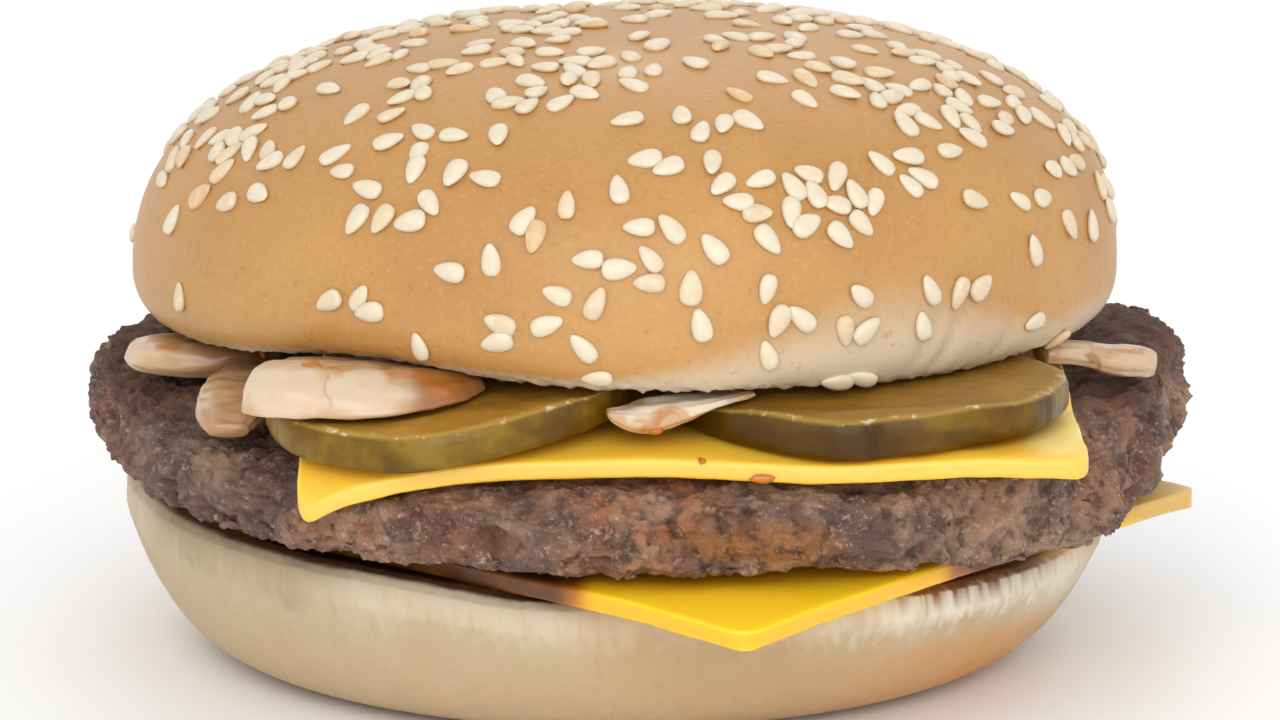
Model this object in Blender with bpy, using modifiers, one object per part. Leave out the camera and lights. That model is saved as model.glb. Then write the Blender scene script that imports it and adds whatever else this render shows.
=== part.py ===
"""A cheeseburger: a seeded bun, a patty, two slices of cheese, two pickle slices and five pieces of onion.

Metres, +Z up. The origin is the middle of the flat underside of the heel, the bun's lower half.
The burger's front, where the fillings show most, faces -Y.
"""

import math
import random

import bmesh
import bpy
from mathutils import Matrix, Vector, noise

MM = 0.001
GAP = 0.35 * MM

HEEL_RADIUS = 50.8 * MM
HEEL_BASE_RADIUS = 31.5 * MM
HEEL_RIM_HEIGHT = 15.9 * MM
HEEL_INSIDE_HEIGHT = 15.7 * MM
HEEL_TILT = -0.045
HEEL_PRESSED = 0.9 * MM
LAYER_LEAN = -0.012
HEEL_STEPS = 48

CROWN_CENTRE = Vector((0.9, 0.0, 0.0)) * MM
CROWN_RADIUS = 50.7 * MM
CROWN_RIM_RADIUS = 47.0 * MM
CROWN_RIM_HEIGHT = 34.3 * MM
CROWN_WIDEST_HEIGHT = 39.3 * MM
CROWN_TOP_HEIGHT = 65.0 * MM
CROWN_ROUNDNESS = 2.46
CROWN_TILT = -0.0489
CROWN_LEAN = 0.019
CROWN_RIM_BEND = -0.453
CROWN_HOLLOW = 3.6 * MM
CROWN_RAISED = 2.1 * MM
CROWN_SUNK = 0.5 * MM
CROWN_STEPS = 48

SEED_COUNT = 112
SEED_LENGTH = 3.3 * MM
SEED_WIDTH = 2.1 * MM
SEED_THICKNESS = 1.1 * MM
SEED_SPACING = 3.4 * MM
SEED_LIFT = 0.12 * MM

PATTY_CENTRE = Vector((2.3, 0.0, 0.0)) * MM
PATTY_RADIUS = 57.5 * MM
PATTY_BOTTOM = 18.3 * MM
PATTY_TOP = 28.55 * MM
PATTY_CREST = 2.3 * MM
PATTY_EDGE = 6.5 * MM
PATTY_STEPS = 96
PATTY_EDGE_STEPS = 11
PATTY_CRAG_DEPTH = 3.2 * MM
PATTY_CRAG_DROP = 0.9 * MM
PATTY_TUCK = 2.4 * MM
PATTY_SAG = 1.7 * MM
FRONT_LEFT_DROP = 1.1 * MM
FRONT_WAVE = 0.32 * MM

CHEESE_THICKNESS = 1.8 * MM
UPPER_CHEESE_LIFT = 0.65 * MM
CHEESE_CORNER = 2.5 * MM
CHEESE_CELLS = 11
UPPER_CHEESE_CENTRE = Vector((7.5, -14.6, 0.0)) * MM
UPPER_CHEESE_SIDE = 75.0 * MM
LOWER_CHEESE_TIP = Vector((12.3, -66.8, 0.0)) * MM
LOWER_CHEESE_LENGTH = 75.7 * MM
LOWER_CHEESE_WIDTH = 70.0 * MM
LOWER_CHEESE_ANGLE = math.radians(50.7)

PICKLE_STEPS = 28
PICKLE_LIP = 0.14
PICKLE_LEFT = dict(centre=Vector((-16.3, -39.5, 0.0)) * MM, half=(17.6 * MM, 14.4 * MM),
                   thickness=3.2 * MM)
PICKLE_RIGHT = dict(centre=Vector((24.4, -35.6, 0.0)) * MM, half=(19.5 * MM, 16.8 * MM),
                    thickness=3.4 * MM)


def clear_scene():
    for obj in list(bpy.data.objects):
        bpy.data.objects.remove(obj)


def collection(name, parent):
    made = bpy.data.collections.new(name)
    parent.children.link(made)
    return made


def material(name, colour, roughness):
    made = bpy.data.materials.new(name)
    made.use_nodes = True
    shader = made.node_tree.nodes["Principled BSDF"]
    shader.inputs["Base Color"].default_value = (*colour, 1.0)
    shader.inputs["Roughness"].default_value = roughness
    shader.inputs["Metallic"].default_value = 0.0
    return made


def smooth(value, low, high):
    """0 below low, 1 above high, and a smooth step between them."""
    share = min(1.0, max(0.0, (value - low) / (high - low)))
    return share * share * (3.0 - 2.0 * share)


def hump(x, y, centre, width):
    """1 at the centre, falling off to 0 over about twice the width."""
    away = (x - centre[0] * MM) ** 2 + (y - centre[1] * MM) ** 2
    return math.exp(-away / (width * MM) ** 2)


def add_object(name, mesh, home, surface):
    obj = bpy.data.objects.new(name, mesh)
    home.objects.link(obj)
    mesh.materials.clear()
    mesh.materials.append(surface)
    mesh.shade_smooth()
    mesh.set_sharp_from_angle(angle=math.radians(50))
    return obj


def turned_mesh(name, profile, steps):
    """The mesh of a profile, as (radius, height) pairs from top to bottom, turned about Z."""
    line = bpy.data.meshes.new(name + "_profile")
    points = [(radius, 0.0, height) for radius, height in profile]
    line.from_pydata(points, [(i, i + 1) for i in range(len(points) - 1)], [])
    obj = bpy.data.objects.new(name + "_profile", line)
    bpy.context.scene.collection.objects.link(obj)
    screw = obj.modifiers.new("Turn", "SCREW")
    screw.steps = steps
    screw.render_steps = steps
    screw.use_merge_vertices = True
    screw.merge_threshold = 0.00001
    graph = bpy.context.evaluated_depsgraph_get()
    mesh = bpy.data.meshes.new_from_object(obj.evaluated_get(graph))
    mesh.name = name
    bpy.data.objects.remove(obj)
    return mesh


def reshape(mesh, rule):
    """Moves each vertex to where the rule puts it."""
    for vertex in mesh.vertices:
        vertex.co = rule(vertex.co)
    mesh.update()


# Heel

def heel_profile():
    """From the middle of the cut face out over the rim, down the side and in to the flat underside."""
    rim = [(0.0, HEEL_INSIDE_HEIGHT), (34 * MM, HEEL_INSIDE_HEIGHT), (47.2 * MM, HEEL_INSIDE_HEIGHT),
           (HEEL_RADIUS - 1.3 * MM, HEEL_RIM_HEIGHT), (HEEL_RADIUS - 0.3 * MM, HEEL_RIM_HEIGHT - 0.7 * MM)]
    side = []
    for step in range(9):
        share = math.cos(math.pi / 2 * step / 8)
        radius = HEEL_BASE_RADIUS + (HEEL_RADIUS - HEEL_BASE_RADIUS) * math.sqrt(share)
        side.append((radius, (HEEL_RIM_HEIGHT - 2.4 * MM) * share * share))
    return rim + side + [(0.0, 0.0)]


def heel_top(x, y):
    """Height of the cut face: level inside, and up to the rim, which is pressed down at the front."""
    inside = HEEL_INSIDE_HEIGHT + LAYER_LEAN * x
    rim = HEEL_RIM_HEIGHT + HEEL_TILT * x - HEEL_PRESSED * hump(x, y, (-8.0, -49.0), 9.0)
    share = smooth(math.hypot(x, y), 47.3 * MM, 49.5 * MM)
    return inside + (rim - inside) * share


def shaped_heel(point):
    x, y, z = point
    if z <= 0.0:
        return point
    share = z / HEEL_RIM_HEIGHT
    if z > HEEL_INSIDE_HEIGHT - 0.1 * MM:
        return Vector((x, y, heel_top(x, y)))
    bulge = 1.0 + 0.010 * noise.noise(Vector((x, y, z)) * 32.0)
    return Vector((x * bulge, y * bulge, z + share * HEEL_TILT * x))


def add_heel(home, surface):
    mesh = turned_mesh("heel", heel_profile(), HEEL_STEPS)
    reshape(mesh, shaped_heel)
    add_object("heel", mesh, home, surface)


# Patty

def front_fall(x, y):
    """How far the layers over the patty drop towards its front edge, most of all at the left."""
    fall = 0.0058 * max(0.0, -y / MM - 38.0) ** 2 * MM
    left = FRONT_LEFT_DROP * smooth(-x, 6 * MM, 28 * MM) * smooth(-y, 32 * MM, 48 * MM)
    waves = hump(x, 0.0, (20.0, 0.0), 8.0) - hump(x, 0.0, (2.0, 0.0), 9.0) - hump(x, 0.0, (35.0, 0.0), 6.0)
    return fall + left + FRONT_WAVE * waves * smooth(-y, 36 * MM, 50 * MM)


def patty_crest(x, y):
    """The patty's edge stands a little higher than its middle, except at the front."""
    radius = math.hypot(x - PATTY_CENTRE.x, y)
    return PATTY_CREST * smooth(radius, 40 * MM, 51 * MM) * smooth(y, -32 * MM, -8 * MM)


def patty_top(x, y):
    raised = 1.4 * MM * hump(x, y, (56.0, 13.0), 7.0) + 0.7 * MM * hump(x, y, (-48.0, 9.0), 9.0)
    return PATTY_TOP + patty_crest(x, y) - front_fall(x, y) + raised


def patty_bottom(x):
    return PATTY_BOTTOM + LAYER_LEAN * x


def patty_sag(x, y):
    """How far the edge hangs down outside the lower slice's front edge on the right."""
    past = (x - PATTY_CENTRE.x) * math.sin(LOWER_CHEESE_ANGLE) - y * math.cos(LOWER_CHEESE_ANGLE)
    return PATTY_SAG * smooth(past, 51.3 * MM, 53.4 * MM) * smooth(x, 26 * MM, 34 * MM)


def patty_profile():
    """Radius and a height from 1 on the top face to -1 on the bottom face."""
    flat = PATTY_RADIUS - PATTY_EDGE
    top = [(0.0, 1.0), (40 * MM, 1.0), (46 * MM, 1.0), (flat, 1.0)]
    edge = []
    for step in range(1, PATTY_EDGE_STEPS):
        angle = math.pi * step / PATTY_EDGE_STEPS
        radius = flat + PATTY_EDGE * math.sin(angle) ** 0.75
        edge.append((radius, math.copysign(abs(math.cos(angle)) ** 0.8, math.cos(angle))))
    bottom = [(flat, -1.0), (0.0, -1.0)]
    return top + edge + bottom


def patty_lumps(x, y, z):
    """The crags of the browned edge, as a share from 0 to 1."""
    place = Vector((x, y, z))
    broad = noise.noise(place * 110.0)
    fine = noise.noise(place * 300.0 + Vector((7.0, 3.0, 1.0)))
    return min(1.0, max(0.0, 0.42 + 0.75 * broad + 0.65 * fine))


def shaped_patty(point):
    x, y, level = point
    radius = math.hypot(x, y)
    angle = math.atan2(y, x)
    sway = 0.7 * math.sin(2 * angle + 0.6) + 0.5 * math.sin(5 * angle) + 0.4 * math.sin(9 * angle)
    edge = smooth(radius, 44 * MM, 52 * MM)
    x += PATTY_CENTRE.x + sway * MM * edge * math.cos(angle)
    y += sway * MM * edge * math.sin(angle)
    bottom = patty_bottom(x) - patty_sag(x, y)
    middle = (patty_top(x, y) + bottom) / 2
    half = (patty_top(x, y) - bottom) / 2
    z = middle + level * half
    crag = patty_lumps(x, y, z) * edge
    side = math.cos(angle) ** (2 if x < 0.0 else 10)
    tucked = PATTY_TUCK * max(0.0, -level) * side * edge
    inward = (PATTY_CRAG_DEPTH * crag * (1.0 - abs(level) ** 3) + tucked) / max(radius, MM)
    z -= PATTY_CRAG_DROP * crag * level
    return Vector((x - (x - PATTY_CENTRE.x) * inward, y - y * inward, z))


def add_patty(home, surface):
    mesh = turned_mesh("patty", patty_profile(), PATTY_STEPS)
    reshape(mesh, shaped_patty)
    add_object("patty", mesh, home, surface)


# Cheese

def upper_cheese_base(x, y):
    """Underside of the upper slice: on the patty, and drooping where it runs past the edge."""
    radius = math.hypot(x - PATTY_CENTRE.x, y) / MM
    left = smooth(-x, 5 * MM, 25 * MM) * smooth(-y, 10 * MM, 30 * MM)
    corner = 0.040 * max(0.0, radius - 52.7) ** 2 * MM
    right = min(0.6, 0.08 * max(0.0, radius - 50.0) ** 2) * smooth(x, 20 * MM, 36 * MM) * MM
    fall = max(front_fall(x, y), right)
    return PATTY_TOP + patty_crest(x, y) + UPPER_CHEESE_LIFT - fall - corner * left


def lower_cheese_base(x, y):
    """Underside of the lower slice: between heel and patty, and drooping past the heel's rim."""
    past = max(0.0, math.hypot(x, y) / MM - 50.0)
    return patty_bottom(x) - GAP - CHEESE_THICKNESS - 0.0030 * past ** 2 * MM


def upper_cheese_place(across, along):
    centre = UPPER_CHEESE_CENTRE
    return centre.x + across * UPPER_CHEESE_SIDE / 2, centre.y + along * UPPER_CHEESE_SIDE / 2


def lower_cheese_place(across, along):
    right = Vector((math.cos(LOWER_CHEESE_ANGLE), math.sin(LOWER_CHEESE_ANGLE), 0.0))
    left = Vector((-right.y, right.x, 0.0))
    place = LOWER_CHEESE_TIP + right * LOWER_CHEESE_LENGTH * (across + 1) / 2
    place += left * LOWER_CHEESE_WIDTH * (along + 1) / 2
    return place.x, place.y


def rounded_corner(across, along, side):
    """Pulls the points at a square's corners in, so that the corners are round."""
    reach = 2 * CHEESE_CORNER / side
    over = [max(0.0, abs(value) - (1 - reach)) / reach for value in (across, along)]
    length = math.hypot(*over)
    if min(over) <= 0.0 or length <= 1.0:
        return across, along
    pulled = [1 - reach + reach * value / length for value in over]
    return math.copysign(pulled[0], across), math.copysign(pulled[1], along)


def add_cheese(name, place, base, side, home, surface):
    made = bmesh.new()
    bmesh.ops.create_grid(made, x_segments=CHEESE_CELLS, y_segments=CHEESE_CELLS, size=1.0)
    for vertex in made.verts:
        across, along = rounded_corner(vertex.co.x, vertex.co.y, side)
        x, y = place(across, along)
        vertex.co = (x, y, base(x, y))
    mesh = bpy.data.meshes.new(name)
    made.to_mesh(mesh)
    made.free()
    obj = add_object(name, mesh, home, surface)
    solid = obj.modifiers.new("Thickness", "SOLIDIFY")
    solid.thickness = CHEESE_THICKNESS
    solid.offset = 1.0
    solid.use_even_offset = False


# Pickles

def pickle_left_base(x, y):
    lift = 0.055 * max(0.0, x + 20 * MM) * smooth(-y, 30 * MM, 46 * MM)
    return PATTY_TOP + UPPER_CHEESE_LIFT + CHEESE_THICKNESS + GAP - front_fall(x, y) * 1.1 + lift


def pickle_right_base(x, y):
    return PATTY_TOP + UPPER_CHEESE_LIFT + CHEESE_THICKNESS + GAP - front_fall(x, y)


def pickle_profile(thickness):
    """Radius as a share of the slice's, and height over its underside."""
    return [(0.0, thickness), (0.55, thickness), (0.86, thickness), (0.985, thickness - 0.15 * MM),
            (1.0, thickness * 0.8), (1.0, thickness * 0.2), (0.985, 0.15 * MM), (0.86, 0.0),
            (0.55, 0.0), (0.0, 0.0)]


def add_pickle(name, shape, base, dent, thin, home, surface):
    """A slice on its base, with a dent in the rim and one end thinner by a share."""
    mesh = turned_mesh(name, pickle_profile(shape["thickness"]), PICKLE_STEPS)

    def placed(point):
        angle = math.atan2(point.y, point.x)
        share = 1.0 - dent[1] * math.exp(-((angle - dent[0]) / 0.16) ** 2)
        share += 0.012 * math.sin(3 * angle + 1.0) + 0.008 * math.sin(7 * angle)
        x = shape["centre"].x + point.x * shape["half"][0] * share
        y = shape["centre"].y + point.y * shape["half"][1] * share
        thickness = point.z * (1.0 - thin * (1.0 - smooth(x, 6 * MM, 16 * MM)))
        thickness *= 1.0 + PICKLE_LIP * smooth(-y, 46 * MM, 50 * MM)
        return Vector((x, y, thickness + base(x, y)))

    reshape(mesh, placed)
    add_object(name, mesh, home, surface)


# Onions

def rounded_section():
    """A flat oval section, as shares of the half width and half thickness."""
    section = []
    for step in range(8):
        angle = 2 * math.pi * (step + 0.5) / 8
        section.append((math.copysign(abs(math.cos(angle)) ** 0.6, math.cos(angle)),
                        math.copysign(abs(math.sin(angle)) ** 0.8, math.sin(angle))))
    return section


WEDGE_SECTION = [(1.0, -1.0), (0.85, 0.25), (0.42, 1.12), (-0.2, 1.1), (-0.97, 0.62), (-1.0, -0.25),
                 (-0.3, -0.62), (0.45, -0.9)]


def add_onion(name, stations, home, surface, section=None):
    """A piece of onion lofted through stations, each (x, y, z, width, thickness) in millimetres.

    The section goes round the station's middle, with its first direction to the right of the path.
    """
    section = section or rounded_section()
    made = bmesh.new()
    rings = []
    for index, (x, y, z, width, thickness) in enumerate(stations):
        before = Vector(stations[max(0, index - 1)][:3])
        after = Vector(stations[min(len(stations) - 1, index + 1)][:3])
        along = (after - before).normalized()
        side = along.cross(Vector((0.0, 0.0, 1.0))).normalized()
        up = side.cross(along)
        ring = []
        for across, rise in section:
            place = Vector((x, y, z)) + side * across * width / 2 + up * rise * thickness / 2
            ring.append(made.verts.new(place * MM))
        rings.append(ring)
    for first, second in zip(rings, rings[1:]):
        for index in range(len(section)):
            nearby = (index + 1) % len(section)
            made.faces.new((first[index], first[nearby], second[nearby], second[index]))
    made.faces.new(rings[0])
    made.faces.new(rings[-1])
    bmesh.ops.recalc_face_normals(made, faces=made.faces)
    mesh = bpy.data.meshes.new(name)
    made.to_mesh(mesh)
    made.free()
    add_object(name, mesh, home, surface)


def add_onions(home, surface):
    add_onion("onion_far_left", [
        (-48.8, -14.6, 33.2, 3.8, 1.6), (-47.2, -14.9, 32.6, 7.0, 3.2), (-43.0, -15.2, 32.4, 8.6, 3.7),
        (-38.0, -14.9, 32.3, 8.0, 3.2), (-34.5, -14.0, 32.2, 6.0, 2.4)], home, surface)
    add_onion("onion_side_left", [
        (-37.4, -38.6, 29.9, 4.0, 1.4), (-37.4, -35.4, 30.7, 6.6, 2.4), (-37.0, -31.0, 31.5, 7.6, 2.9),
        (-36.4, -27.0, 32.0, 7.4, 2.9), (-35.6, -23.0, 32.2, 5.6, 2.4)], home, surface)
    add_onion("onion_large", [
        (-33.4, -42.5, 35.4, 10.6, 3.4), (-31.8, -43.0, 35.5, 12.4, 3.8), (-27.2, -43.6, 35.6, 13.0, 3.8),
        (-22.2, -43.8, 35.6, 12.4, 3.4), (-17.8, -42.8, 35.7, 10.4, 2.5), (-14.2, -40.6, 35.8, 7.0, 1.4)],
        home, surface, WEDGE_SECTION)
    add_onion("onion_middle", [
        (-0.6, -48.6, 33.9, 2.0, 0.6), (2.0, -48.2, 33.3, 5.4, 2.6), (5.0, -46.9, 33.7, 6.0, 2.4),
        (8.4, -45.6, 34.4, 5.4, 1.1), (12.6, -43.4, 34.9, 4.0, 0.6)], home, surface)
    add_onion("onion_right", [
        (53.9, -15.4, 31.7, 3.4, 2.7), (52.8, -15.8, 31.9, 4.4, 3.1), (50.0, -17.0, 32.3, 4.6, 3.0),
        (47.6, -17.9, 33.0, 4.6, 2.5), (45.0, -19.0, 33.6, 4.6, 2.2), (42.6, -19.8, 33.7, 4.2, 1.9)],
        home, surface)


# Crown

def crown_rule(point):
    """Tips the turned crown back, bends its rim and lifts the rim over the large piece of onion."""
    x, y, z = point
    low = 1.0 - smooth(z, CROWN_RIM_HEIGHT + 2 * MM, CROWN_WIDEST_HEIGHT + 7 * MM)
    bend = CROWN_RIM_BEND * y * y
    lift = CROWN_RAISED * hump(x, y, (-23.5, -40.0), 16.0)
    lift -= CROWN_SUNK * hump(x, y, (30.0, -38.0), 14.0)
    lean = CROWN_LEAN * x * (1.0 - low)
    return Vector((x + CROWN_CENTRE.x, y, z + CROWN_TILT * y + lean + (bend + lift) * low))


def crown_side(share):
    """Radius and height on the dome: share 0 is the widest ring and 1 the top."""
    angle = math.pi / 2 * share
    radius = CROWN_RADIUS * math.cos(angle) ** (2 / CROWN_ROUNDNESS)
    rise = (CROWN_TOP_HEIGHT - CROWN_WIDEST_HEIGHT) * math.sin(angle) ** (2 / CROWN_ROUNDNESS)
    return radius, CROWN_WIDEST_HEIGHT + rise


def crown_profile():
    """From the top of the dome down over the side and the rim to the middle of the hollow underside."""
    dome = [(0.0, CROWN_TOP_HEIGHT)]
    for share in (0.93, 0.84, 0.74, 0.64, 0.54, 0.44, 0.34, 0.24, 0.15, 0.07):
        dome.append(crown_side(share))
    dome.append((CROWN_RADIUS, CROWN_WIDEST_HEIGHT))
    low = []
    for step in (1, 2, 3):
        angle = math.pi / 2 * step / 3
        radius = CROWN_RIM_RADIUS + (CROWN_RADIUS - CROWN_RIM_RADIUS) * math.cos(angle)
        drop = (CROWN_WIDEST_HEIGHT - CROWN_RIM_HEIGHT) * math.sin(angle)
        low.append((radius, CROWN_WIDEST_HEIGHT - drop))
    hollow = []
    for radius in (45.0, 42.0, 38.0, 34.0, 18.0, 0.0):
        rise = CROWN_HOLLOW * (1.0 - smooth(radius, 34.0, 45.5))
        hollow.append((radius * MM, CROWN_RIM_HEIGHT + 0.15 * MM + rise))
    return dome + low + hollow


def seed_mesh():
    """A sesame seed lying along X: a flat teardrop, narrower at its +X end."""
    made = bmesh.new()
    bmesh.ops.create_uvsphere(made, u_segments=5, v_segments=4, radius=0.5)
    bmesh.ops.rotate(made, verts=made.verts, matrix=Matrix.Rotation(math.pi / 2, 3, "Y"))
    for vertex in made.verts:
        taper = 1.0 - 0.55 * vertex.co.x
        vertex.co.x *= SEED_LENGTH
        vertex.co.y *= SEED_WIDTH * taper
        vertex.co.z *= SEED_THICKNESS * taper
    mesh = bpy.data.meshes.new("seed")
    made.to_mesh(mesh)
    made.free()
    return mesh


def dome_point(angle, share):
    radius, height = crown_side(share)
    return crown_rule(Vector((radius * math.cos(angle), radius * math.sin(angle), height)))


def seed_places():
    """Where the seeds lie: close together on the top, and few low down, each clear of the others."""
    draw = random.Random(7)
    places = []
    tries = 0
    while len(places) < SEED_COUNT and tries < 60000:
        tries += 1
        angle = draw.uniform(-math.pi, math.pi)
        share = draw.uniform(0.02, 0.99)
        radius, height = crown_side(share)
        level = (height - CROWN_WIDEST_HEIGHT) / (CROWN_TOP_HEIGHT - CROWN_WIDEST_HEIGHT)
        wanted = (0.28 + 0.72 * smooth(level, 0.15, 0.8)) * radius / CROWN_RADIUS
        turn = draw.uniform(0, 2 * math.pi)
        if draw.random() > wanted:
            continue
        place = dome_point(angle, share)
        if any((place - other[0]).length < SEED_SPACING for other in places):
            continue
        outward = (dome_point(angle + 0.01, share) - dome_point(angle - 0.01, share)).cross(
            dome_point(angle, share + 0.005) - dome_point(angle, share - 0.005)).normalized()
        places.append((place, outward, turn))
    return places


def add_seeds(home, surface):
    mesh = seed_mesh()
    mesh.materials.append(surface)
    for place, outward, turn in seed_places():
        obj = bpy.data.objects.new("seed", mesh)
        home.objects.link(obj)
        lying = outward.to_track_quat("Z", "X").to_matrix() @ Matrix.Rotation(turn, 3, "Z")
        obj.matrix_world = Matrix.Translation(place + outward * SEED_LIFT) @ lying.to_4x4()


def add_crown(home, seeds, surface, seed_surface):
    mesh = turned_mesh("crown", crown_profile(), CROWN_STEPS)
    reshape(mesh, crown_rule)
    crown = add_object("crown", mesh, home, surface)
    add_seeds(seeds, seed_surface)
    union = crown.modifiers.new("Seeds", "BOOLEAN")
    union.operation = "UNION"
    union.operand_type = "COLLECTION"
    union.collection = seeds
    union.solver = "EXACT"
    graph = bpy.context.evaluated_depsgraph_get()
    joined = bpy.data.meshes.new_from_object(crown.evaluated_get(graph))
    crown.modifiers.clear()
    crown.data = joined
    for obj in list(seeds.objects):
        bpy.data.objects.remove(obj)
    bpy.data.collections.remove(seeds)


def build():
    clear_scene()
    root = bpy.context.scene.collection
    burger = collection("cheeseburger", root)
    seeds = collection("seeds", root)
    bread = material("bun", (0.62, 0.33, 0.13), 0.55)
    crumb = material("bun_base", (0.63, 0.47, 0.28), 0.75)
    meat = material("patty", (0.19, 0.10, 0.07), 0.5)
    cheese = material("cheese", (0.95, 0.55, 0.05), 0.35)
    pickle = material("pickle", (0.16, 0.12, 0.02), 0.25)
    onion = material("onion", (0.75, 0.55, 0.38), 0.3)
    seed = material("seed", (0.74, 0.64, 0.49), 0.5)
    add_heel(burger, crumb)
    add_cheese("cheese_lower", lower_cheese_place, lower_cheese_base, LOWER_CHEESE_WIDTH, burger,
               cheese)
    add_patty(burger, meat)
    add_cheese("cheese_upper", upper_cheese_place, upper_cheese_base, UPPER_CHEESE_SIDE, burger,
               cheese)
    add_pickle("pickle_left", PICKLE_LEFT, pickle_left_base, (0.0, 0.0), 0.0, burger, pickle)
    add_pickle("pickle_right", PICKLE_RIGHT, pickle_right_base, (-1.47, 0.045), 0.25, burger, pickle)
    add_onions(burger, onion)
    add_crown(burger, seeds, bread, seed)


build()
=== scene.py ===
"""The looks of a cheeseburger: the fine surface of every layer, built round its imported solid.

Metres, +Z up, the front towards -Y. Each layer keeps the form of the solid that it replaces.
"""

import math
import random

import bpy
import numpy as np
from mathutils import Matrix, Vector, noise
from mathutils.bvhtree import BVHTree


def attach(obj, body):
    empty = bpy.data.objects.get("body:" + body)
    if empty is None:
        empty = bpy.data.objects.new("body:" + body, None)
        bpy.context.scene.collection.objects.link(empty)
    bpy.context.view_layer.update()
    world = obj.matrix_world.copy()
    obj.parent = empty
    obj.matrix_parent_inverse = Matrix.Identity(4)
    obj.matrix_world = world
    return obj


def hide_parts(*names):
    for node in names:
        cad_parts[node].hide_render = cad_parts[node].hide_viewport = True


MM = 0.001

# Camera, with the photograph taken as 1280 by 720

CAMERA_TARGET = Vector((2.5, 0.0, 28.7)) * MM
CAMERA_DISTANCE = 560 * MM
CAMERA_ELEVATION = math.radians(12.0)
CAMERA_LENS = 151.7
CAMERA_SENSOR = 36.0
PICTURE_WIDTH = 1280
PICTURE_HEIGHT = 720

# Dimensions of the layers

HEEL_RADIUS = 50.8 * MM
HEEL_BASE_RADIUS = 31.5 * MM
HEEL_RIM_HEIGHT = 15.9 * MM
HEEL_INSIDE_HEIGHT = 15.7 * MM
HEEL_TILT = -0.045
HEEL_PRESSED = 0.9 * MM
HEEL_FACE_ROWS = 8
LAYER_LEAN = -0.012

CROWN_CENTRE = 0.9 * MM
CROWN_RADIUS = 50.7 * MM
CROWN_RIM_RADIUS = 47.0 * MM
CROWN_RIM_HEIGHT = 34.3 * MM
CROWN_WIDEST_HEIGHT = 39.3 * MM
CROWN_TOP_HEIGHT = 65.0 * MM
CROWN_ROUNDNESS = 2.46
CROWN_TILT = -0.0489
CROWN_LEAN = 0.019
CROWN_RIM_BEND = -0.453
CROWN_HOLLOW = 3.6 * MM
CROWN_RAISED = 2.1 * MM
CROWN_SUNK = 0.5 * MM
CROWN_DOME_ROWS = 120
CROWN_LOW_ROWS = 18

PATTY_CENTRE = 2.3 * MM
PATTY_RADIUS = 57.5 * MM
PATTY_BOTTOM = 18.3 * MM
PATTY_TOP = 28.55 * MM
PATTY_CREST = 2.3 * MM
PATTY_EDGE = 6.5 * MM
PATTY_CRAG_DEPTH = 3.2 * MM
PATTY_CRAG_DROP = 0.9 * MM
PATTY_TUCK = 2.4 * MM
PATTY_SAG = 1.7 * MM
FRONT_LEFT_DROP = 1.1 * MM
FRONT_WAVE = 0.32 * MM
GRAIN_COUNT = 420
GRAIN_FIRST_ROW = 38
GRAIN_LAST_ROW = 98

CHEESE_THICKNESS = 1.8 * MM
CHEESE_CORNER = 2.5 * MM
CHEESE_ROUND = 0.35 * MM
LAYER_GAP = 0.35 * MM
UPPER_CHEESE_LIFT = 0.65 * MM
UPPER_CHEESE_CENTRE = Vector((7.5, -14.6, 0.0)) * MM
UPPER_CHEESE_SIDE = 75.0 * MM
LOWER_CHEESE_TIP = Vector((12.3, -66.8, 0.0)) * MM
LOWER_CHEESE_LENGTH = 75.7 * MM
LOWER_CHEESE_WIDTH = 70.0 * MM
LOWER_CHEESE_ANGLE = math.radians(50.7)

# A pickle slice's dent is its direction and its depth as a share, and thin is how much its left end loses

PICKLE_LEFT = dict(centre=(-16.3 * MM, -39.5 * MM), half=(17.6 * MM, 14.4 * MM), thickness=3.2 * MM,
                   dent=(0.0, 0.0), thin=0.0)
PICKLE_RIGHT = dict(centre=(24.4 * MM, -35.6 * MM), half=(19.5 * MM, 16.8 * MM), thickness=3.4 * MM,
                    dent=(-1.47, 0.045), thin=0.25)
PICKLE_LIP = 0.14

ONION_RIDGE = 0.05
ONION_ROWS = 110
ONION_COLUMNS = 72

WEDGE_SECTION = [(1.0, -1.0), (0.85, 0.25), (0.42, 1.12), (-0.2, 1.1), (-0.97, 0.62), (-1.0, -0.25),
                 (-0.3, -0.62), (0.45, -0.9)]

# Seeds whose place shows well: picture x, picture y, direction of the pointed end in degrees

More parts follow.
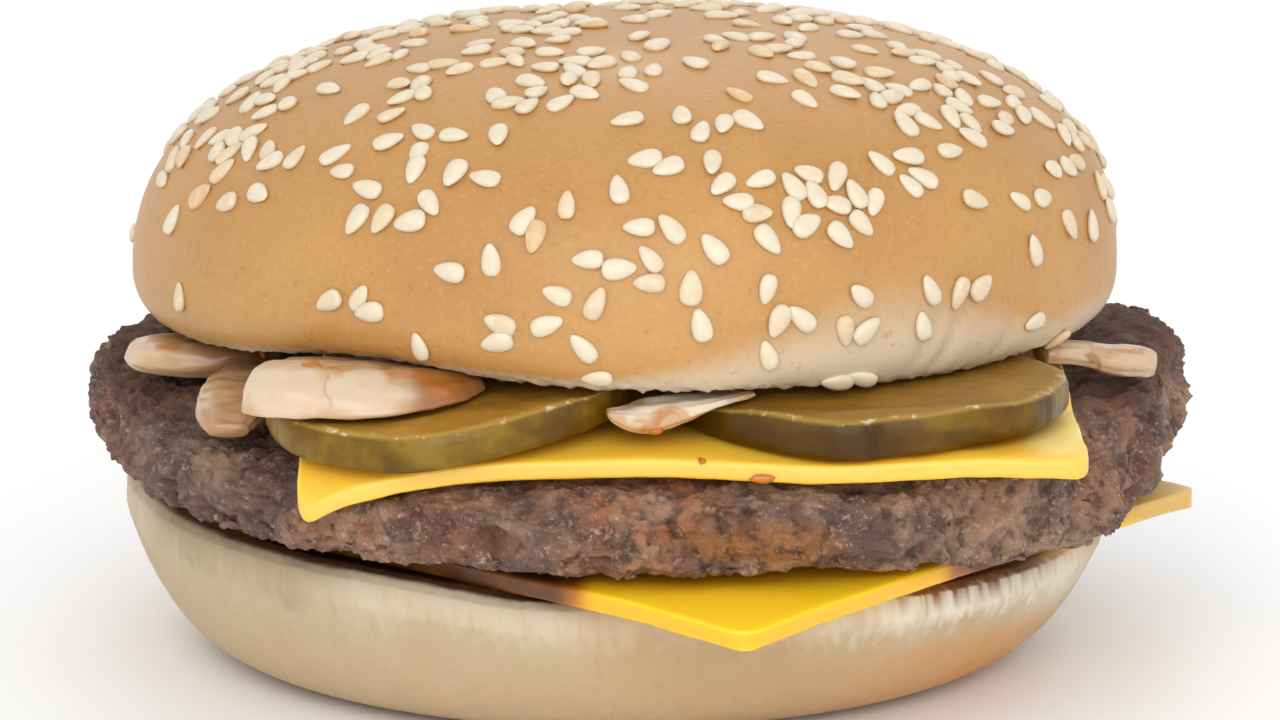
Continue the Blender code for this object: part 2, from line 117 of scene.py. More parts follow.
FRONT_SEEDS = [
    (227, 203, 170), (174, 220, 60), (357, 220, 240), (383, 220, 240), (410, 222, 180), (430, 204, 300),
    (455, 175, 260), (485, 179, 150), (368, 190, 150), (342, 172, 150), (336, 155, 40), (567, 206, 90),
    (524, 221, 55), (535, 237, 255), (491, 260, 95), (450, 272, 170), (588, 260, 180), (639, 228, 180),
    (671, 229, 130), (714, 249, 130), (650, 259, 130), (619, 269, 5), (649, 283, 180), (691, 288, 88),
    (701, 325, 105), (596, 303, 65), (557, 295, 160), (547, 325, 20), (500, 324, 160), (497, 342, 200),
    (583, 348, 130), (420, 346, 88), (360, 298, 50), (330, 301, 205), (370, 312, 190), (181, 297, 75),
    (597, 378, 190), (768, 240, 310), (767, 289, 260), (778, 321, 245), (801, 318, 140), (768, 355, 110),
    (845, 331, 280), (866, 330, 40), (860, 295, 145), (861, 224, 320), (840, 236, 320), (874, 203, 250),
    (855, 195, 110), (806, 225, 30), (791, 213, 260), (836, 205, 180), (760, 181, 210), (738, 203, 180),
    (757, 214, 5), (722, 186, 235), (712, 164, 260), (793, 187, 120), (815, 195, 110), (808, 175, 165),
    (836, 178, 250), (668, 168, 210), (645, 160, 190), (930, 290, 130), (958, 293, 250), (980, 287, 30),
    (922, 326, 110), (1033, 322, 180), (1034, 250, 140), (1068, 225, 305), (974, 201, 10), (1019, 201, 180),
    (1042, 198, 20), (837, 381, 160), (861, 377, 140), (910, 186, 140), (922, 178, 160), (880, 164, 145),
    (907, 158, 200), (1056, 338, 230)]

# The lower edge of the toasted strip on the heel's rim at the right, as picture x and y

TOASTED_EDGE = [(880, 603), (905, 600), (940, 594), (993, 583), (1040, 567), (1066, 553)]

SEED_COUNT = 500
SEED_LENGTH = 3.25 * MM
SEED_WIDTH = 2.0 * MM
SEED_THICKNESS = 1.0 * MM
SEED_SPACING = 2.15 * MM
SHOWN_SEED_SPACING = 4.2 * MM
SEED_TRIES = 60000


def smooth(value, low, high):
    """0 below low, 1 above high, and a smooth step between them."""
    share = np.clip((value - low) / (high - low), 0.0, 1.0)
    return share * share * (3.0 - 2.0 * share)


def hump(x, y, centre, width):
    """1 at the centre, in millimetres, falling off to 0 over about twice the width."""
    away = (x - centre[0] * MM) ** 2 + (y - centre[1] * MM) ** 2
    return np.exp(-away / (width * MM) ** 2)


def noise_at(points, scale, shift=(0.0, 0.0, 0.0), octaves=1):
    """Noise of about -1 to 1 at every point of an array whose last axis is x, y, z."""
    places = (points.reshape(-1, 3) * np.array(scale) + np.array(shift)).tolist()
    if octaves == 1:
        values = [noise.noise(place) for place in places]
    else:
        values = [noise.fractal(place, 1.0, 2.0, octaves) for place in places]
    return np.array(values).reshape(points.shape[:-1])


def evenly(profile, count):
    """A profile of (radius, height) pairs, sampled again at even steps along its length."""
    profile = np.array(profile)
    lengths = np.concatenate(([0.0], np.cumsum(np.linalg.norm(np.diff(profile, axis=0), axis=1))))
    steps = np.linspace(0.0, lengths[-1], count)
    return np.stack([np.interp(steps, lengths, profile[:, axis]) for axis in range(2)], axis=-1)


def turned(profile, columns):
    """Rows of rings: the profile turned about Z, as an array of row, column, xyz."""
    angles = np.linspace(-math.pi, math.pi, columns, endpoint=False)
    radius = profile[:, 0][:, None]
    height = np.repeat(profile[:, 1][:, None], columns, axis=1)
    return np.stack([radius * np.cos(angles), radius * np.sin(angles), height], axis=-1)


def outward(rings):
    """Unit normals of rows of rings, pointing out."""
    down = np.gradient(rings, axis=0)
    around = (np.roll(rings, -1, axis=1) - np.roll(rings, 1, axis=1)) / 2
    normal = np.cross(down, around)
    length = np.linalg.norm(normal, axis=-1, keepdims=True)
    return normal / np.maximum(length, 1e-12)


def ring_faces(rows, columns, first=0):
    """Faces of a closed form: a pole, the rings from the top down, and another pole."""
    index = first + 1 + np.arange(rows * columns).reshape(rows, columns)
    beside = np.roll(index, -1, axis=1)
    quads = np.stack([index[:-1], index[1:], beside[1:], beside[:-1]], axis=-1).reshape(-1, 4)
    top = [(first, a, b) for a, b in zip(index[0].tolist(), beside[0].tolist())]
    last = first + 1 + rows * columns
    bottom = [(a, last, b) for a, b in zip(index[-1].tolist(), beside[-1].tolist())]
    return quads.tolist() + top + bottom


def add_piece(name, points, faces, surface, masks=None):
    """A smooth mesh object with one number for each point in each mask."""
    mesh = bpy.data.meshes.new(name)
    mesh.from_pydata(np.asarray(points).tolist(), [], faces)
    mesh.update()
    for mask, values in (masks or {}).items():
        layer = mesh.attributes.new(mask, "FLOAT", "POINT")
        layer.data.foreach_set("value", np.asarray(values, dtype=np.float32))
    mesh.shade_smooth()
    mesh.materials.append(surface)
    obj = bpy.data.objects.new(name, mesh)
    bpy.context.scene.collection.objects.link(obj)
    return obj


def add_rings(name, rings, surface, masks=None):
    """A closed piece from rows of rings, with a pole at the middle of the first and the last ring."""
    rows, columns = rings.shape[:2]
    ends = [rings[0].mean(axis=0), rings[-1].mean(axis=0)]
    points = np.concatenate((ends[:1], rings.reshape(-1, 3), ends[1:]))
    spread = {}
    for mask, values in (masks or {}).items():
        spread[mask] = np.concatenate(([values[0].mean()], values.ravel(), [values[-1].mean()]))
    return add_piece(name, points, ring_faces(rows, columns), surface, spread)


# Pictures and places

def view_axes():
    """The directions right, up and forward as the camera sees them."""
    forward = Vector((0.0, math.cos(CAMERA_ELEVATION), -math.sin(CAMERA_ELEVATION)))
    upward = Vector((0.0, math.sin(CAMERA_ELEVATION), math.cos(CAMERA_ELEVATION)))
    return Vector((1.0, 0.0, 0.0)), upward, forward


def picture_ray(x, y):
    """Where the camera is, and the direction in which it sees a place of the picture."""
    right, upward, forward = view_axes()
    reach = PICTURE_WIDTH * CAMERA_LENS / CAMERA_SENSOR
    across = (x - PICTURE_WIDTH / 2) / reach
    rise = (PICTURE_HEIGHT / 2 - y) / reach
    eye = CAMERA_TARGET - forward * CAMERA_DISTANCE
    return eye, (forward + right * across + upward * rise).normalized()


def picture_place(points):
    """Picture x and y of each point."""
    right, upward, forward = (np.array(axis) for axis in view_axes())
    reach = PICTURE_WIDTH * CAMERA_LENS / CAMERA_SENSOR
    away = points - np.array(CAMERA_TARGET)
    depth = CAMERA_DISTANCE + away @ forward
    x = PICTURE_WIDTH / 2 + reach * (away @ right) / depth
    y = PICTURE_HEIGHT / 2 - reach * (away @ upward) / depth
    return x, y


def patch(points, centre, half, turn=0.0):
    """1 inside an ellipse of the picture, fading to 0 at its edge."""
    x, y = picture_place(points)
    cos, sin = math.cos(math.radians(turn)), math.sin(math.radians(turn))
    along = ((x - centre[0]) * cos - (y - centre[1]) * sin) / half[0]
    across = ((x - centre[0]) * sin + (y - centre[1]) * cos) / half[1]
    return 1.0 - smooth(np.hypot(along, across), 0.55, 1.1)


# Materials

def paint(red, green, blue):
    """A colour given in the picture's 0 to 255 values, as the shader wants it."""
    shares = []
    for value in (red, green, blue):
        share = value / 255.0
        shares.append(share / 12.92 if share <= 0.04045 else ((share + 0.055) / 1.055) ** 2.4)
    return (*shares, 1.0)


class Surface:
    """A material on the Principled shader, whose colour and bump are built up step by step."""

    def __init__(self, name, colour, roughness, **sockets):
        self.material = bpy.data.materials.new(name)
        self.material.use_nodes = True
        self.tree = self.material.node_tree
        self.shader = self.tree.nodes["Principled BSDF"]
        self.plain = paint(*colour)
        self.shader.inputs["Base Color"].default_value = self.plain
        self.shader.inputs["Roughness"].default_value = roughness
        for socket, value in sockets.items():
            self.shader.inputs[socket.replace("_", " ")].default_value = value
        self.colour = None
        self.bump = None
        self.coordinates = self.tree.nodes.new("ShaderNodeTexCoord").outputs["Object"]

    def link(self, source, target):
        self.tree.links.new(source, target)

    def mask(self, name):
        node = self.tree.nodes.new("ShaderNodeAttribute")
        node.attribute_name = name
        return node.outputs["Fac"]

    def stretched(self, scale):
        node = self.tree.nodes.new("ShaderNodeMapping")
        node.inputs["Scale"].default_value = scale
        self.link(self.coordinates, node.inputs["Vector"])
        return node.outputs["Vector"]

    def noise(self, scale, detail=3.0, stretch=None, roughness=0.55):
        node = self.tree.nodes.new("ShaderNodeTexNoise")
        node.inputs["Scale"].default_value = scale
        node.inputs["Detail"].default_value = detail
        node.inputs["Roughness"].default_value = roughness
        source = self.stretched(stretch) if stretch else self.coordinates
        self.link(source, node.inputs["Vector"])
        return node.outputs["Fac"]

    def between(self, source, low, high, to_low=0.0, to_high=1.0):
        node = self.tree.nodes.new("ShaderNodeMapRange")
        node.interpolation_type = "SMOOTHSTEP"
        node.inputs["From Min"].default_value = low
        node.inputs["From Max"].default_value = high
        node.inputs["To Min"].default_value = to_low
        node.inputs["To Max"].default_value = to_high
        self.link(source, node.inputs["Value"])
        return node.outputs["Result"]

    def times(self, first, second):
        node = self.tree.nodes.new("ShaderNodeMath")
        node.operation = "MULTIPLY"
        self.link(first, node.inputs[0])
        self.link(second, node.inputs[1])
        return node.outputs["Value"]

    def tint(self, factor, colour):
        """Mixes a colour in, as far as the factor says."""
        node = self.tree.nodes.new("ShaderNodeMix")
        node.data_type = "RGBA"
        self.link(factor, node.inputs["Factor"])
        if self.colour is None:
            node.inputs["A"].default_value = self.plain
        else:
            self.link(self.colour, node.inputs["A"])
        node.inputs["B"].default_value = paint(*colour)
        self.colour = node.outputs["Result"]
        self.link(self.colour, self.shader.inputs["Base Color"])

    def spots(self, grain, limits, shares=(0.0, 1.0), **more):
        """Noise of a scale and detail, as a share that rises between the limits."""
        return self.between(self.noise(*grain, **more), *limits, *shares)

    def speckle(self, grain, limits, colour, shares=(0.0, 1.0), inside=None, **more):
        """Mixes a colour in by noise, only inside a mask where one is named."""
        share = self.spots(grain, limits, shares, **more)
        if inside:
            share = self.times(self.mask(inside), share)
        self.tint(share, colour)

    def stain(self, **colours):
        """Mixes a colour in for each mask that is named, in that order."""
        for name, colour in colours.items():
            self.tint(self.mask(name), colour)

    def relief(self, height, distance, strength=1.0):
        """Adds a bump of the given depth in metres."""
        node = self.tree.nodes.new("ShaderNodeBump")
        node.inputs["Distance"].default_value = distance
        node.inputs["Strength"].default_value = strength
        self.link(height, node.inputs["Height"])
        if self.bump is not None:
            self.link(self.bump, node.inputs["Normal"])
        self.bump = node.outputs["Normal"]
        self.link(self.bump, self.shader.inputs["Normal"])

    def gloss(self, factor, rough, glossy):
        """Varies the roughness from rough to glossy as the factor goes from 0 to 1."""
        self.link(self.between(factor, 0.0, 1.0, rough, glossy), self.shader.inputs["Roughness"])


def soft_light(depth, red, green, blue):
    """Sockets for light that sinks in: how much, how far in metres, and which colours go furthest."""
    return dict(Subsurface_Weight=depth[0], Subsurface_Scale=depth[1], Subsurface_Radius=(red, green, blue))


def crust_surface():
    made = Surface("bun_crust", (178, 130, 69), 0.45, Coat_Weight=0.06, Coat_Roughness=0.35,
                   **soft_light((0.08, 1.5 * MM), 1.0, 0.6, 0.3))
    made.speckle((42.0, 4.0), (0.35, 0.68), (185, 137, 74))
    # The lighter colour at the dimple on the top is a painted highlight.
    made.stain(brown=(168, 118, 60), dimple=(204, 166, 116), pale=(205, 193, 170), torn=(226, 214, 190))
    made.speckle((1500.0, 2.0), (0.50, 0.75), (210, 168, 112), (0.0, 0.2))
    made.speckle((1150.0, 2.0), (0.60, 0.78), (142, 92, 46), (0.0, 0.35))
    made.relief(made.noise(1300.0, 3.0), 0.10 * MM, 0.5)
    made.relief(made.noise(260.0, 3.0), 0.18 * MM, 0.35)
    return made.material


def heel_surface():
    made = Surface("heel_crust", (189, 169, 138), 0.7, **soft_light((0.15, 2.0 * MM), 1.0, 0.6, 0.35))
    made.speckle((60.0, 4.0), (0.35, 0.7), (184, 159, 123))
    # Greyer on the rim's upper side at the left front, under the patty's overhang: soaked fat and painted
    # shade.
    made.stain(tan=(198, 163, 120), golden=(200, 143, 82), torn=(216, 206, 188), grease=(160, 141, 108),
               toasted=(128, 78, 34))
    made.speckle((900.0, 3.0), (0.5, 0.75), (178, 150, 112), (0.0, 0.35), stretch=(1.0, 1.0, 0.25))
    made.relief(made.noise(420.0, 4.0, (1.0, 1.0, 0.22)), 0.35 * MM, 0.6)
    made.relief(made.noise(1400.0, 2.0), 0.12 * MM, 0.5)
    return made.material


def patty_surface():
    made = Surface("browned_meat", (130, 98, 80), 0.5, Specular_IOR_Level=0.55,
                   **soft_light((0.05, 1.0 * MM), 1.0, 0.4, 0.3))
    made.speckle((110.0, 6.0), (0.40, 0.58), (180, 143, 116), roughness=0.65)
    made.speckle((75.0, 4.0), (0.48, 0.62), (94, 69, 64), (0.0, 0.8))
    # Lighter on the raised lumps: painted highlight.
    made.stain(high=(188, 156, 130), shade=(100, 70, 56))
    made.speckle((170.0, 4.0), (0.32, 0.58), (176, 102, 62), (0.0, 0.85), "red")
    made.speckle((240.0, 4.0), (0.30, 0.55), (168, 110, 58), (0.0, 0.85), "yellow")
    made.speckle((430.0, 6.0), (0.50, 0.64), (72, 49, 41), (0.0, 0.75), roughness=0.65)
    made.speckle((1100.0, 4.0), (0.58, 0.74), (204, 178, 156), (0.0, 0.55))
    glints = made.spots((2600.0, 3.0), (0.58, 0.68), (0.0, 0.5))
    made.tint(made.times(glints, made.spots((160.0, 3.0), (0.42, 0.58))), (226, 204, 184))
    # Darker in the creases between the lumps: painted shade.
    made.stain(hollow=(46, 31, 25), char=(92, 58, 40))
    made.relief(made.noise(700.0, 7.0, roughness=0.75), 1.1 * MM, 0.9)
    made.relief(made.noise(2400.0, 3.0), 0.2 * MM, 0.6)
    not_charred = made.between(made.mask("char"), 0.0, 0.6, 1.0, 0.0)
    made.gloss(made.times(made.spots((300.0, 4.0), (0.40, 0.62)), not_charred), 0.7, 0.22)
    return made.material


def grain_surface():
    made = Surface("meat_grains", (132, 98, 80), 0.45, **soft_light((0.1, 1.0 * MM), 1.0, 0.4, 0.3))
    made.stain(tone=(172, 142, 112))
    made.speckle((900.0, 3.0), (0.42, 0.6), (92, 64, 54), (0.0, 0.8))
    made.relief(made.noise(2200.0, 3.0), 0.2 * MM, 0.6)
    return made.material


def cheese_surface(name, face, cut):
    made = Surface(name, face, 0.36, Coat_Weight=0.08, Coat_Roughness=0.3,
                   **soft_light((0.5, 3.0 * MM), 1.0, 0.66, 0.10))
    made.stain(cut=cut, lower_edge=(244, 178, 20), pale=(253, 226, 140), tan=(200, 165, 90))
    # Browner and then dark brown where a slice runs in under the patty's edge: painted shade.
    made.tint(made.between(made.mask("stained"), 0.0, 0.5), (170, 104, 26))
    made.tint(made.between(made.mask("stained"), 0.4, 0.95), (98, 54, 16))
    made.relief(made.noise(600.0, 3.0), 0.08 * MM, 0.4)
    return made.material


def pickle_surface():
    made = Surface("pickle_slice", (156, 112, 38), 0.30, Coat_Weight=0.03, Coat_Roughness=0.12,
                   Specular_IOR_Level=0.2, **soft_light((0.2, 1.5 * MM), 0.8, 0.7, 0.1))
    made.speckle((120.0, 4.0), (0.38, 0.66), (170, 128, 50))
    made.stain(skin=(108, 76, 14))
    made.speckle((210.0, 4.0), (0.4, 0.65), (132, 104, 28), inside="skin")
    made.tint(made.times(made.mask("skin"), made.mask("dark")), (76, 50, 6))
    # Darker on the right slice, and in a line down its dent: painted shade.
    made.stain(deep=(64, 40, 0), rim=(164, 138, 66))
    # The lighter colour round the top edge and the bright specks on it: painted highlight and painted glints.
    made.speckle((800.0, 3.0), (0.56, 0.64), (232, 222, 190), inside="rim")
    made.relief(made.noise(900.0, 4.0), 0.15 * MM, 0.4)
    made.relief(made.noise(160.0, 2.0), 0.5 * MM, 0.4)
    return made.material


def onion_surface():
    made = Surface("onion", (190, 158, 120), 0.26, Coat_Weight=0.30, Coat_Roughness=0.12,
                   **soft_light((0.25, 1.5 * MM), 1.0, 0.75, 0.5))
    made.speckle((220.0, 3.0), (0.35, 0.7), (192, 156, 114), (0.0, 0.7))
    # Browner where a piece is stained; on the far-left piece that brown also stands for painted shade under
    # the crown.
    made.stain(stained=(150, 98, 52), white=(210, 194, 174), vein=(150, 104, 60))
    made.speckle((500.0, 4.0), (0.3, 0.6), (170, 98, 10), (0.4, 0.85), "sauce")
    made.relief(made.noise(700.0, 3.0, (0.35, 1.0, 1.0)), 0.2 * MM, 0.5)
    return made.material


def seed_surface():
    made = Surface("sesame", (212, 199, 175), 0.4, Coat_Weight=0.12, Coat_Roughness=0.3,
                   **soft_light((0.25, 1.0 * MM), 1.0, 0.75, 0.45))
    made.stain(tone=(204, 168, 118))
    made.speckle((900.0, 3.0), (0.4, 0.75), (223, 212, 190), (0.0, 0.5))
    made.relief(made.noise(1800.0, 2.0), 0.06 * MM, 0.5)
    return made.material


def sauce_surface():
    made = Surface("sauce", (186, 110, 20), 0.16, Coat_Weight=0.3, Coat_Roughness=0.06,
                   **soft_light((0.08, 0.6 * MM), 1.0, 0.5, 0.1))
    made.speckle((700.0, 3.0), (0.4, 0.7), (184, 102, 16))
    return made.material


def floor_surface():
    made = Surface("pale_floor", (246, 246, 246), 0.6)
    made.speckle((3.0, 2.0), (0.3, 0.7), (240, 240, 240), (0.0, 0.15))
    return made.material


# Heel

def heel_profile():
    """From the middle of the cut face out over the rim, down the side and in to the flat underside."""
    face = [(0.0, HEEL_INSIDE_HEIGHT), (46.0 * MM, HEEL_INSIDE_HEIGHT)]
    rim = [(46.6 * MM, HEEL_INSIDE_HEIGHT), (47.2 * MM, HEEL_INSIDE_HEIGHT),
           (HEEL_RADIUS - 1.3 * MM, HEEL_RIM_HEIGHT), (HEEL_RADIUS - 0.3 * MM, HEEL_RIM_HEIGHT - 0.7 * MM)]
    side = []
    for step in range(49):
        share = max(0.0, math.cos(math.pi / 2 * step / 48))
        radius = HEEL_BASE_RADIUS + (HEEL_RADIUS - HEEL_BASE_RADIUS) * math.sqrt(share)
        side.append((radius, (HEEL_RIM_HEIGHT - 2.4 * MM) * share * share))
    underside = evenly([side[-1], (2.0 * MM, 0.0)], 8)
    return np.concatenate((evenly(face, HEEL_FACE_ROWS), evenly(rim, 14), evenly(side, 70)[1:],
                           underside[1:]))


def add_heel(surface):
    rings = turned(heel_profile(), 960)
    x, y, z = rings[..., 0].copy(), rings[..., 1].copy(), rings[..., 2].copy()
    radius = np.hypot(x, y)
    face = HEEL_INSIDE_HEIGHT + LAYER_LEAN * x
    rim = HEEL_RIM_HEIGHT + HEEL_TILT * x - HEEL_PRESSED * hump(x, y, (-8.0, -49.0), 9.0)
    on_top = np.zeros(z.shape, bool)
    on_top[:HEEL_FACE_ROWS] = True
    raised = face + (rim - face) * smooth(radius, 47.3 * MM, 49.5 * MM)
    side = z + np.clip(z / HEEL_RIM_HEIGHT, 0.0, 1.0) * (rim - HEEL_RIM_HEIGHT)
    bulge = 1.0 + 0.010 * noise_at(rings, 32.0)
    level = np.clip(z / HEEL_RIM_HEIGHT, 0.0, 1.0)
    rings[..., 2] = np.where(on_top, raised, np.where(z > 0.0, side, z))
    rings[..., 0] = np.where(on_top, x, x * bulge)
    rings[..., 1] = np.where(on_top, y, y * bulge)
    normal = outward(rings)
    on_side = smooth(radius, 33 * MM, 40 * MM) * smooth(level, 0.02, 0.2)
    wrinkles = noise_at(rings, (260.0, 260.0, 60.0), octaves=3)
    outer = smooth(radius, 47.5 * MM, 49.6 * MM)
    near_rim = outer * smooth(level, 0.72, 0.95)
    ragged = noise_at(rings, (190.0, 190.0, 150.0), (5.0, 0.0, 0.0), 3)
    fibres = noise_at(rings, (1100.0, 1100.0, 280.0), (3.0, 2.0, 0.0), 3)
    relief = 0.10 * MM * wrinkles * on_side + (0.12 * ragged + 0.09 * fibres) * MM * near_rim
    rings += normal * relief[..., None]
    angle = np.degrees(np.arctan2(y, x))
    front = smooth(-angle, 15.0, 40.0)
    torn = smooth(level + 0.12 * fibres + 0.10 * ragged, 0.66, 0.92) * outer * front
    across, down = picture_place(rings)
    over_strip = np.interp(across, *np.array(TOASTED_EDGE).T) - down + 5.0 * fibres + 3.0 * ragged
    strip = smooth(over_strip, -2.0, 3.0) * smooth(across, 885.0, 915.0)
    strip *= 1.0 - smooth(across, 1060.0, 1070.0)
    inside = (1.0 - smooth(radius, 48.2 * MM, 49.2 * MM)) * smooth(level, 0.8, 0.9)
    masks = {
        "tan": np.clip((1.0 - smooth(level, 0.05, 0.75)) * (0.55 + 0.5 * wrinkles), 0.0, 1.0) * 0.7,
        "golden": np.clip(hump(x, y, (33.0, -30.0), 15.0) * (1.0 - smooth(level + 0.1 * ragged, 0.46, 0.72))
                          * 0.75 + 0.6 * patch(rings, (985, 664), (40, 10), 25), 0.0, 1.0),
        "torn": np.clip(torn * (0.4 + 0.7 * smooth(x, 12 * MM, 32 * MM))
                        + 0.8 * hump(x, y, (46.0, -20.0), 10.0) * smooth(level, 0.4, 0.75), 0.0, 1.0),
        # Greyer under the patty's overhang at the left front: soaked fat and painted shade.
        "grease": smooth(-angle, 116.0, 130.0) * (1.0 - smooth(-angle, 150.0, 163.0))
        * smooth(level + 0.10 * ragged + 0.06 * fibres, 0.70, 0.88) * 0.8,
        "toasted": np.maximum(inside, strip * front * smooth(level, 0.7, 0.8))}
    return add_rings("heel_bread", rings, surface, masks)


# Patty

def front_fall(x, y):
    """How far the layers over the patty drop towards its front edge, most of all at the left."""
    fall = 0.0058 * np.maximum(0.0, -y / MM - 38.0) ** 2 * MM
    left = FRONT_LEFT_DROP * smooth(-x, 6 * MM, 28 * MM) * smooth(-y, 32 * MM, 48 * MM)
    waves = hump(x, 0.0, (20.0, 0.0), 8.0) - hump(x, 0.0, (2.0, 0.0), 9.0) - hump(x, 0.0, (35.0, 0.0), 6.0)
    return fall + left + FRONT_WAVE * waves * smooth(-y, 36 * MM, 50 * MM)


def patty_crest(x, y):
    """The patty's edge stands a little higher than its middle, except at the front."""
    radius = np.hypot(x - PATTY_CENTRE, y)
    return PATTY_CREST * smooth(radius, 40 * MM, 51 * MM) * smooth(y, -32 * MM, -8 * MM)


def patty_top(x, y):
    raised = 1.4 * MM * hump(x, y, (56.0, 13.0), 7.0) + 0.7 * MM * hump(x, y, (-48.0, 9.0), 9.0)
    return PATTY_TOP + patty_crest(x, y) - front_fall(x, y) + raised


def patty_bottom(x):
    return PATTY_BOTTOM + LAYER_LEAN * x


def patty_sag(x, y):
    """How far the edge hangs down outside the lower slice's front edge on the right."""
    past = (x - PATTY_CENTRE) * math.sin(LOWER_CHEESE_ANGLE) - y * math.cos(LOWER_CHEESE_ANGLE)
    return PATTY_SAG * smooth(past, 51.3 * MM, 53.4 * MM) * smooth(x, 26 * MM, 34 * MM)


def patty_profile():
    """Radius and a height from 1 on the top face to -1 on the bottom face."""
    flat = PATTY_RADIUS - PATTY_EDGE
    covered = np.linspace(1 * MM, 28 * MM, 5)
    shown = np.linspace(29 * MM, flat, 38)[:-1]
    rows = [(radius, 1.0) for radius in np.concatenate((covered, shown))]
    for step in range(1, 64):
        angle = math.pi * step / 64
        radius = flat + PATTY_EDGE * math.sin(angle) ** 0.75
        rows.append((radius, math.copysign(abs(math.cos(angle)) ** 0.8, math.cos(angle))))
    rows += [(radius, -1.0) for radius in np.linspace(flat, 1 * MM, 7)[1:]]
    return np.array(rows)


def crumbs_at(points, scale, shift):
    """Round lumps with creases between them, from 1 at the middle of a lump to about -1 in a crease."""
    places = (points.reshape(-1, 3) * scale + np.array(shift)).tolist()
    nearest = [noise.voronoi(place)[0][:2] for place in places]
    first, second = np.array(nearest).T.reshape(2, *points.shape[:-1])
    return 2.0 * smooth(second - first, 0.0, 0.45) - 1.0 - 0.6 * first


def patty_lumps(points):
    """The crags of the browned edge, as a share from 0 to 1."""
    broad = noise_at(points, 110.0)
    fine = noise_at(points, 300.0, (7.0, 3.0, 1.0))
    return np.clip(0.42 + 0.75 * broad + 0.65 * fine, 0.0, 1.0)


def patty_rings():
    rings = turned(patty_profile(), 880)
    x, y, level = rings[..., 0], rings[..., 1], rings[..., 2]
    radius = np.hypot(x, y)
    angle = np.arctan2(y, x)
    sway = 0.7 * np.sin(2 * angle + 0.6) + 0.5 * np.sin(5 * angle) + 0.4 * np.sin(9 * angle)
    edge = smooth(radius, 44 * MM, 52 * MM)
    px = x + PATTY_CENTRE + sway * MM * edge * np.cos(angle)
    py = y + sway * MM * edge * np.sin(angle)
    top, bottom = patty_top(px, py), patty_bottom(px) - patty_sag(px, py)
    pz = (top + bottom) / 2 + level * (top - bottom) / 2
    crag = patty_lumps(np.stack([px, py, pz], axis=-1)) * edge
    side = np.where(px < 0.0, np.cos(angle) ** 2, np.cos(angle) ** 10)
    tucked = PATTY_TUCK * np.maximum(0.0, -level) * side * edge
    inward = (PATTY_CRAG_DEPTH * crag * (1.0 - np.abs(level) ** 3) + tucked) / np.maximum(radius, MM)
    pz = pz - PATTY_CRAG_DROP * crag * level
    made = np.stack([px - (px - PATTY_CENTRE) * inward, py - py * inward, pz], axis=-1)
    return made, edge, level, angle


def add_patty(surface):
    rings, edge, level, angle = patty_rings()
    normal = outward(rings)
    warp = np.stack([noise_at(rings, 400.0, (shift, 2.0, 4.0), 2) for shift in (1.0, 9.0, 17.0)], axis=-1)
    warped = rings + 0.9 * MM * warp
    lumps = crumbs_at(warped, 260.0, (3.0, 1.0, 4.0))
    crumbs = crumbs_at(warped, 620.0, (1.0, 5.0, 9.0))
    knobs = noise_at(rings, 420.0, (1.0, 5.0, 9.0), 3)
    grit = noise_at(rings, 1350.0, (2.0, 6.0, 5.0), 3)
    rough = smooth(noise_at(rings, 80.0, (6.0, 2.0, 0.0)), -0.35, 0.35)
    uncovered = np.maximum(smooth(rings[..., 0], 45 * MM, 47 * MM), smooth(-rings[..., 0], 31 * MM, 34 * MM))
    fine = 0.14 * lumps + (0.02 + 0.12 * rough) * crumbs + 0.34 * knobs + (0.15 + 0.14 * rough) * grit
    depth = np.maximum(0.45 + 0.55 * edge, 1.3 * uncovered)
    rings = rings + normal * (MM * (fine - 0.18) * depth)[..., None]
    degrees = np.degrees(angle)
    patches = noise_at(rings, 60.0, (8.0, 2.0, 3.0), 2)
    on_top = smooth(level, 0.45, 0.95)
    masks = {
        # Darker where the surface sinks between the lumps: painted shade.
        "hollow": np.clip(-0.20 - 1.6 * fine, 0.0, 1.0) * 0.8,
        # Lighter where the lumps stand out: painted highlight.
        "high": smooth(fine, 0.08, 0.45) * 0.35,
        "shade": smooth(-rings[..., 0], 12 * MM, 42 * MM) * 0.4,
        "red": np.clip(0.35 * smooth(patches, 0.1, 0.5) + patch(rings, (655, 508), (85, 36)), 0.0, 1.0),
        "yellow": np.clip(patch(rings, (760, 543), (100, 26)) + 0.5 * patch(rings, (470, 545), (70, 18)),
                          0.0, 1.0),
        "char": np.clip(on_top * smooth(np.abs(degrees + 90), 55.0, 75.0) * 0.85, 0.0, 1.0)}
    obj = add_rings("patty_meat", rings, surface, masks)
    return obj, rings, normal, edge


def blob(radii, rows, columns, lumpiness, draw):
    """Points of a small lump round the origin: a pole, rings and a pole."""
    points = [(0.0, 0.0, 1.0)]
    for row in range(1, rows + 1):
        polar = math.pi * row / (rows + 1)
        for column in range(columns):
            angle = 2 * math.pi * column / columns
            points.append((math.sin(polar) * math.cos(angle), math.sin(polar) * math.sin(angle),
                           math.cos(polar)))
    points.append((0.0, 0.0, -1.0))
    points = np.array(points)
    shift = (draw.uniform(0, 50), draw.uniform(0, 50), draw.uniform(0, 50))
    swell = 1.0 + lumpiness * noise_at(points, 1.3, shift, 2)
    return points * swell[:, None] * np.array(radii)


def scatter(name, spots, rows, columns, lumpiness, surface, seed):
    """One piece of many small lumps; a spot is (place, normal, turn, radii, tone)."""
    draw = random.Random(seed)
    points, faces, tones = [], [], []
    count = 0
    for place, normal, turn, radii, tone in spots:
        lying = Vector(normal).to_track_quat("Z", "X").to_matrix() @ Matrix.Rotation(turn, 3, "Z")
        lump = blob(radii, rows, columns, lumpiness, draw) @ np.array(lying).T + np.array(place)
        points.append(lump)
        faces += ring_faces(rows, columns, count)
        tones.append(np.full(len(lump), tone))
        count += len(lump)
    return add_piece(name, np.concatenate(points), faces, surface, {"tone": np.concatenate(tones)})


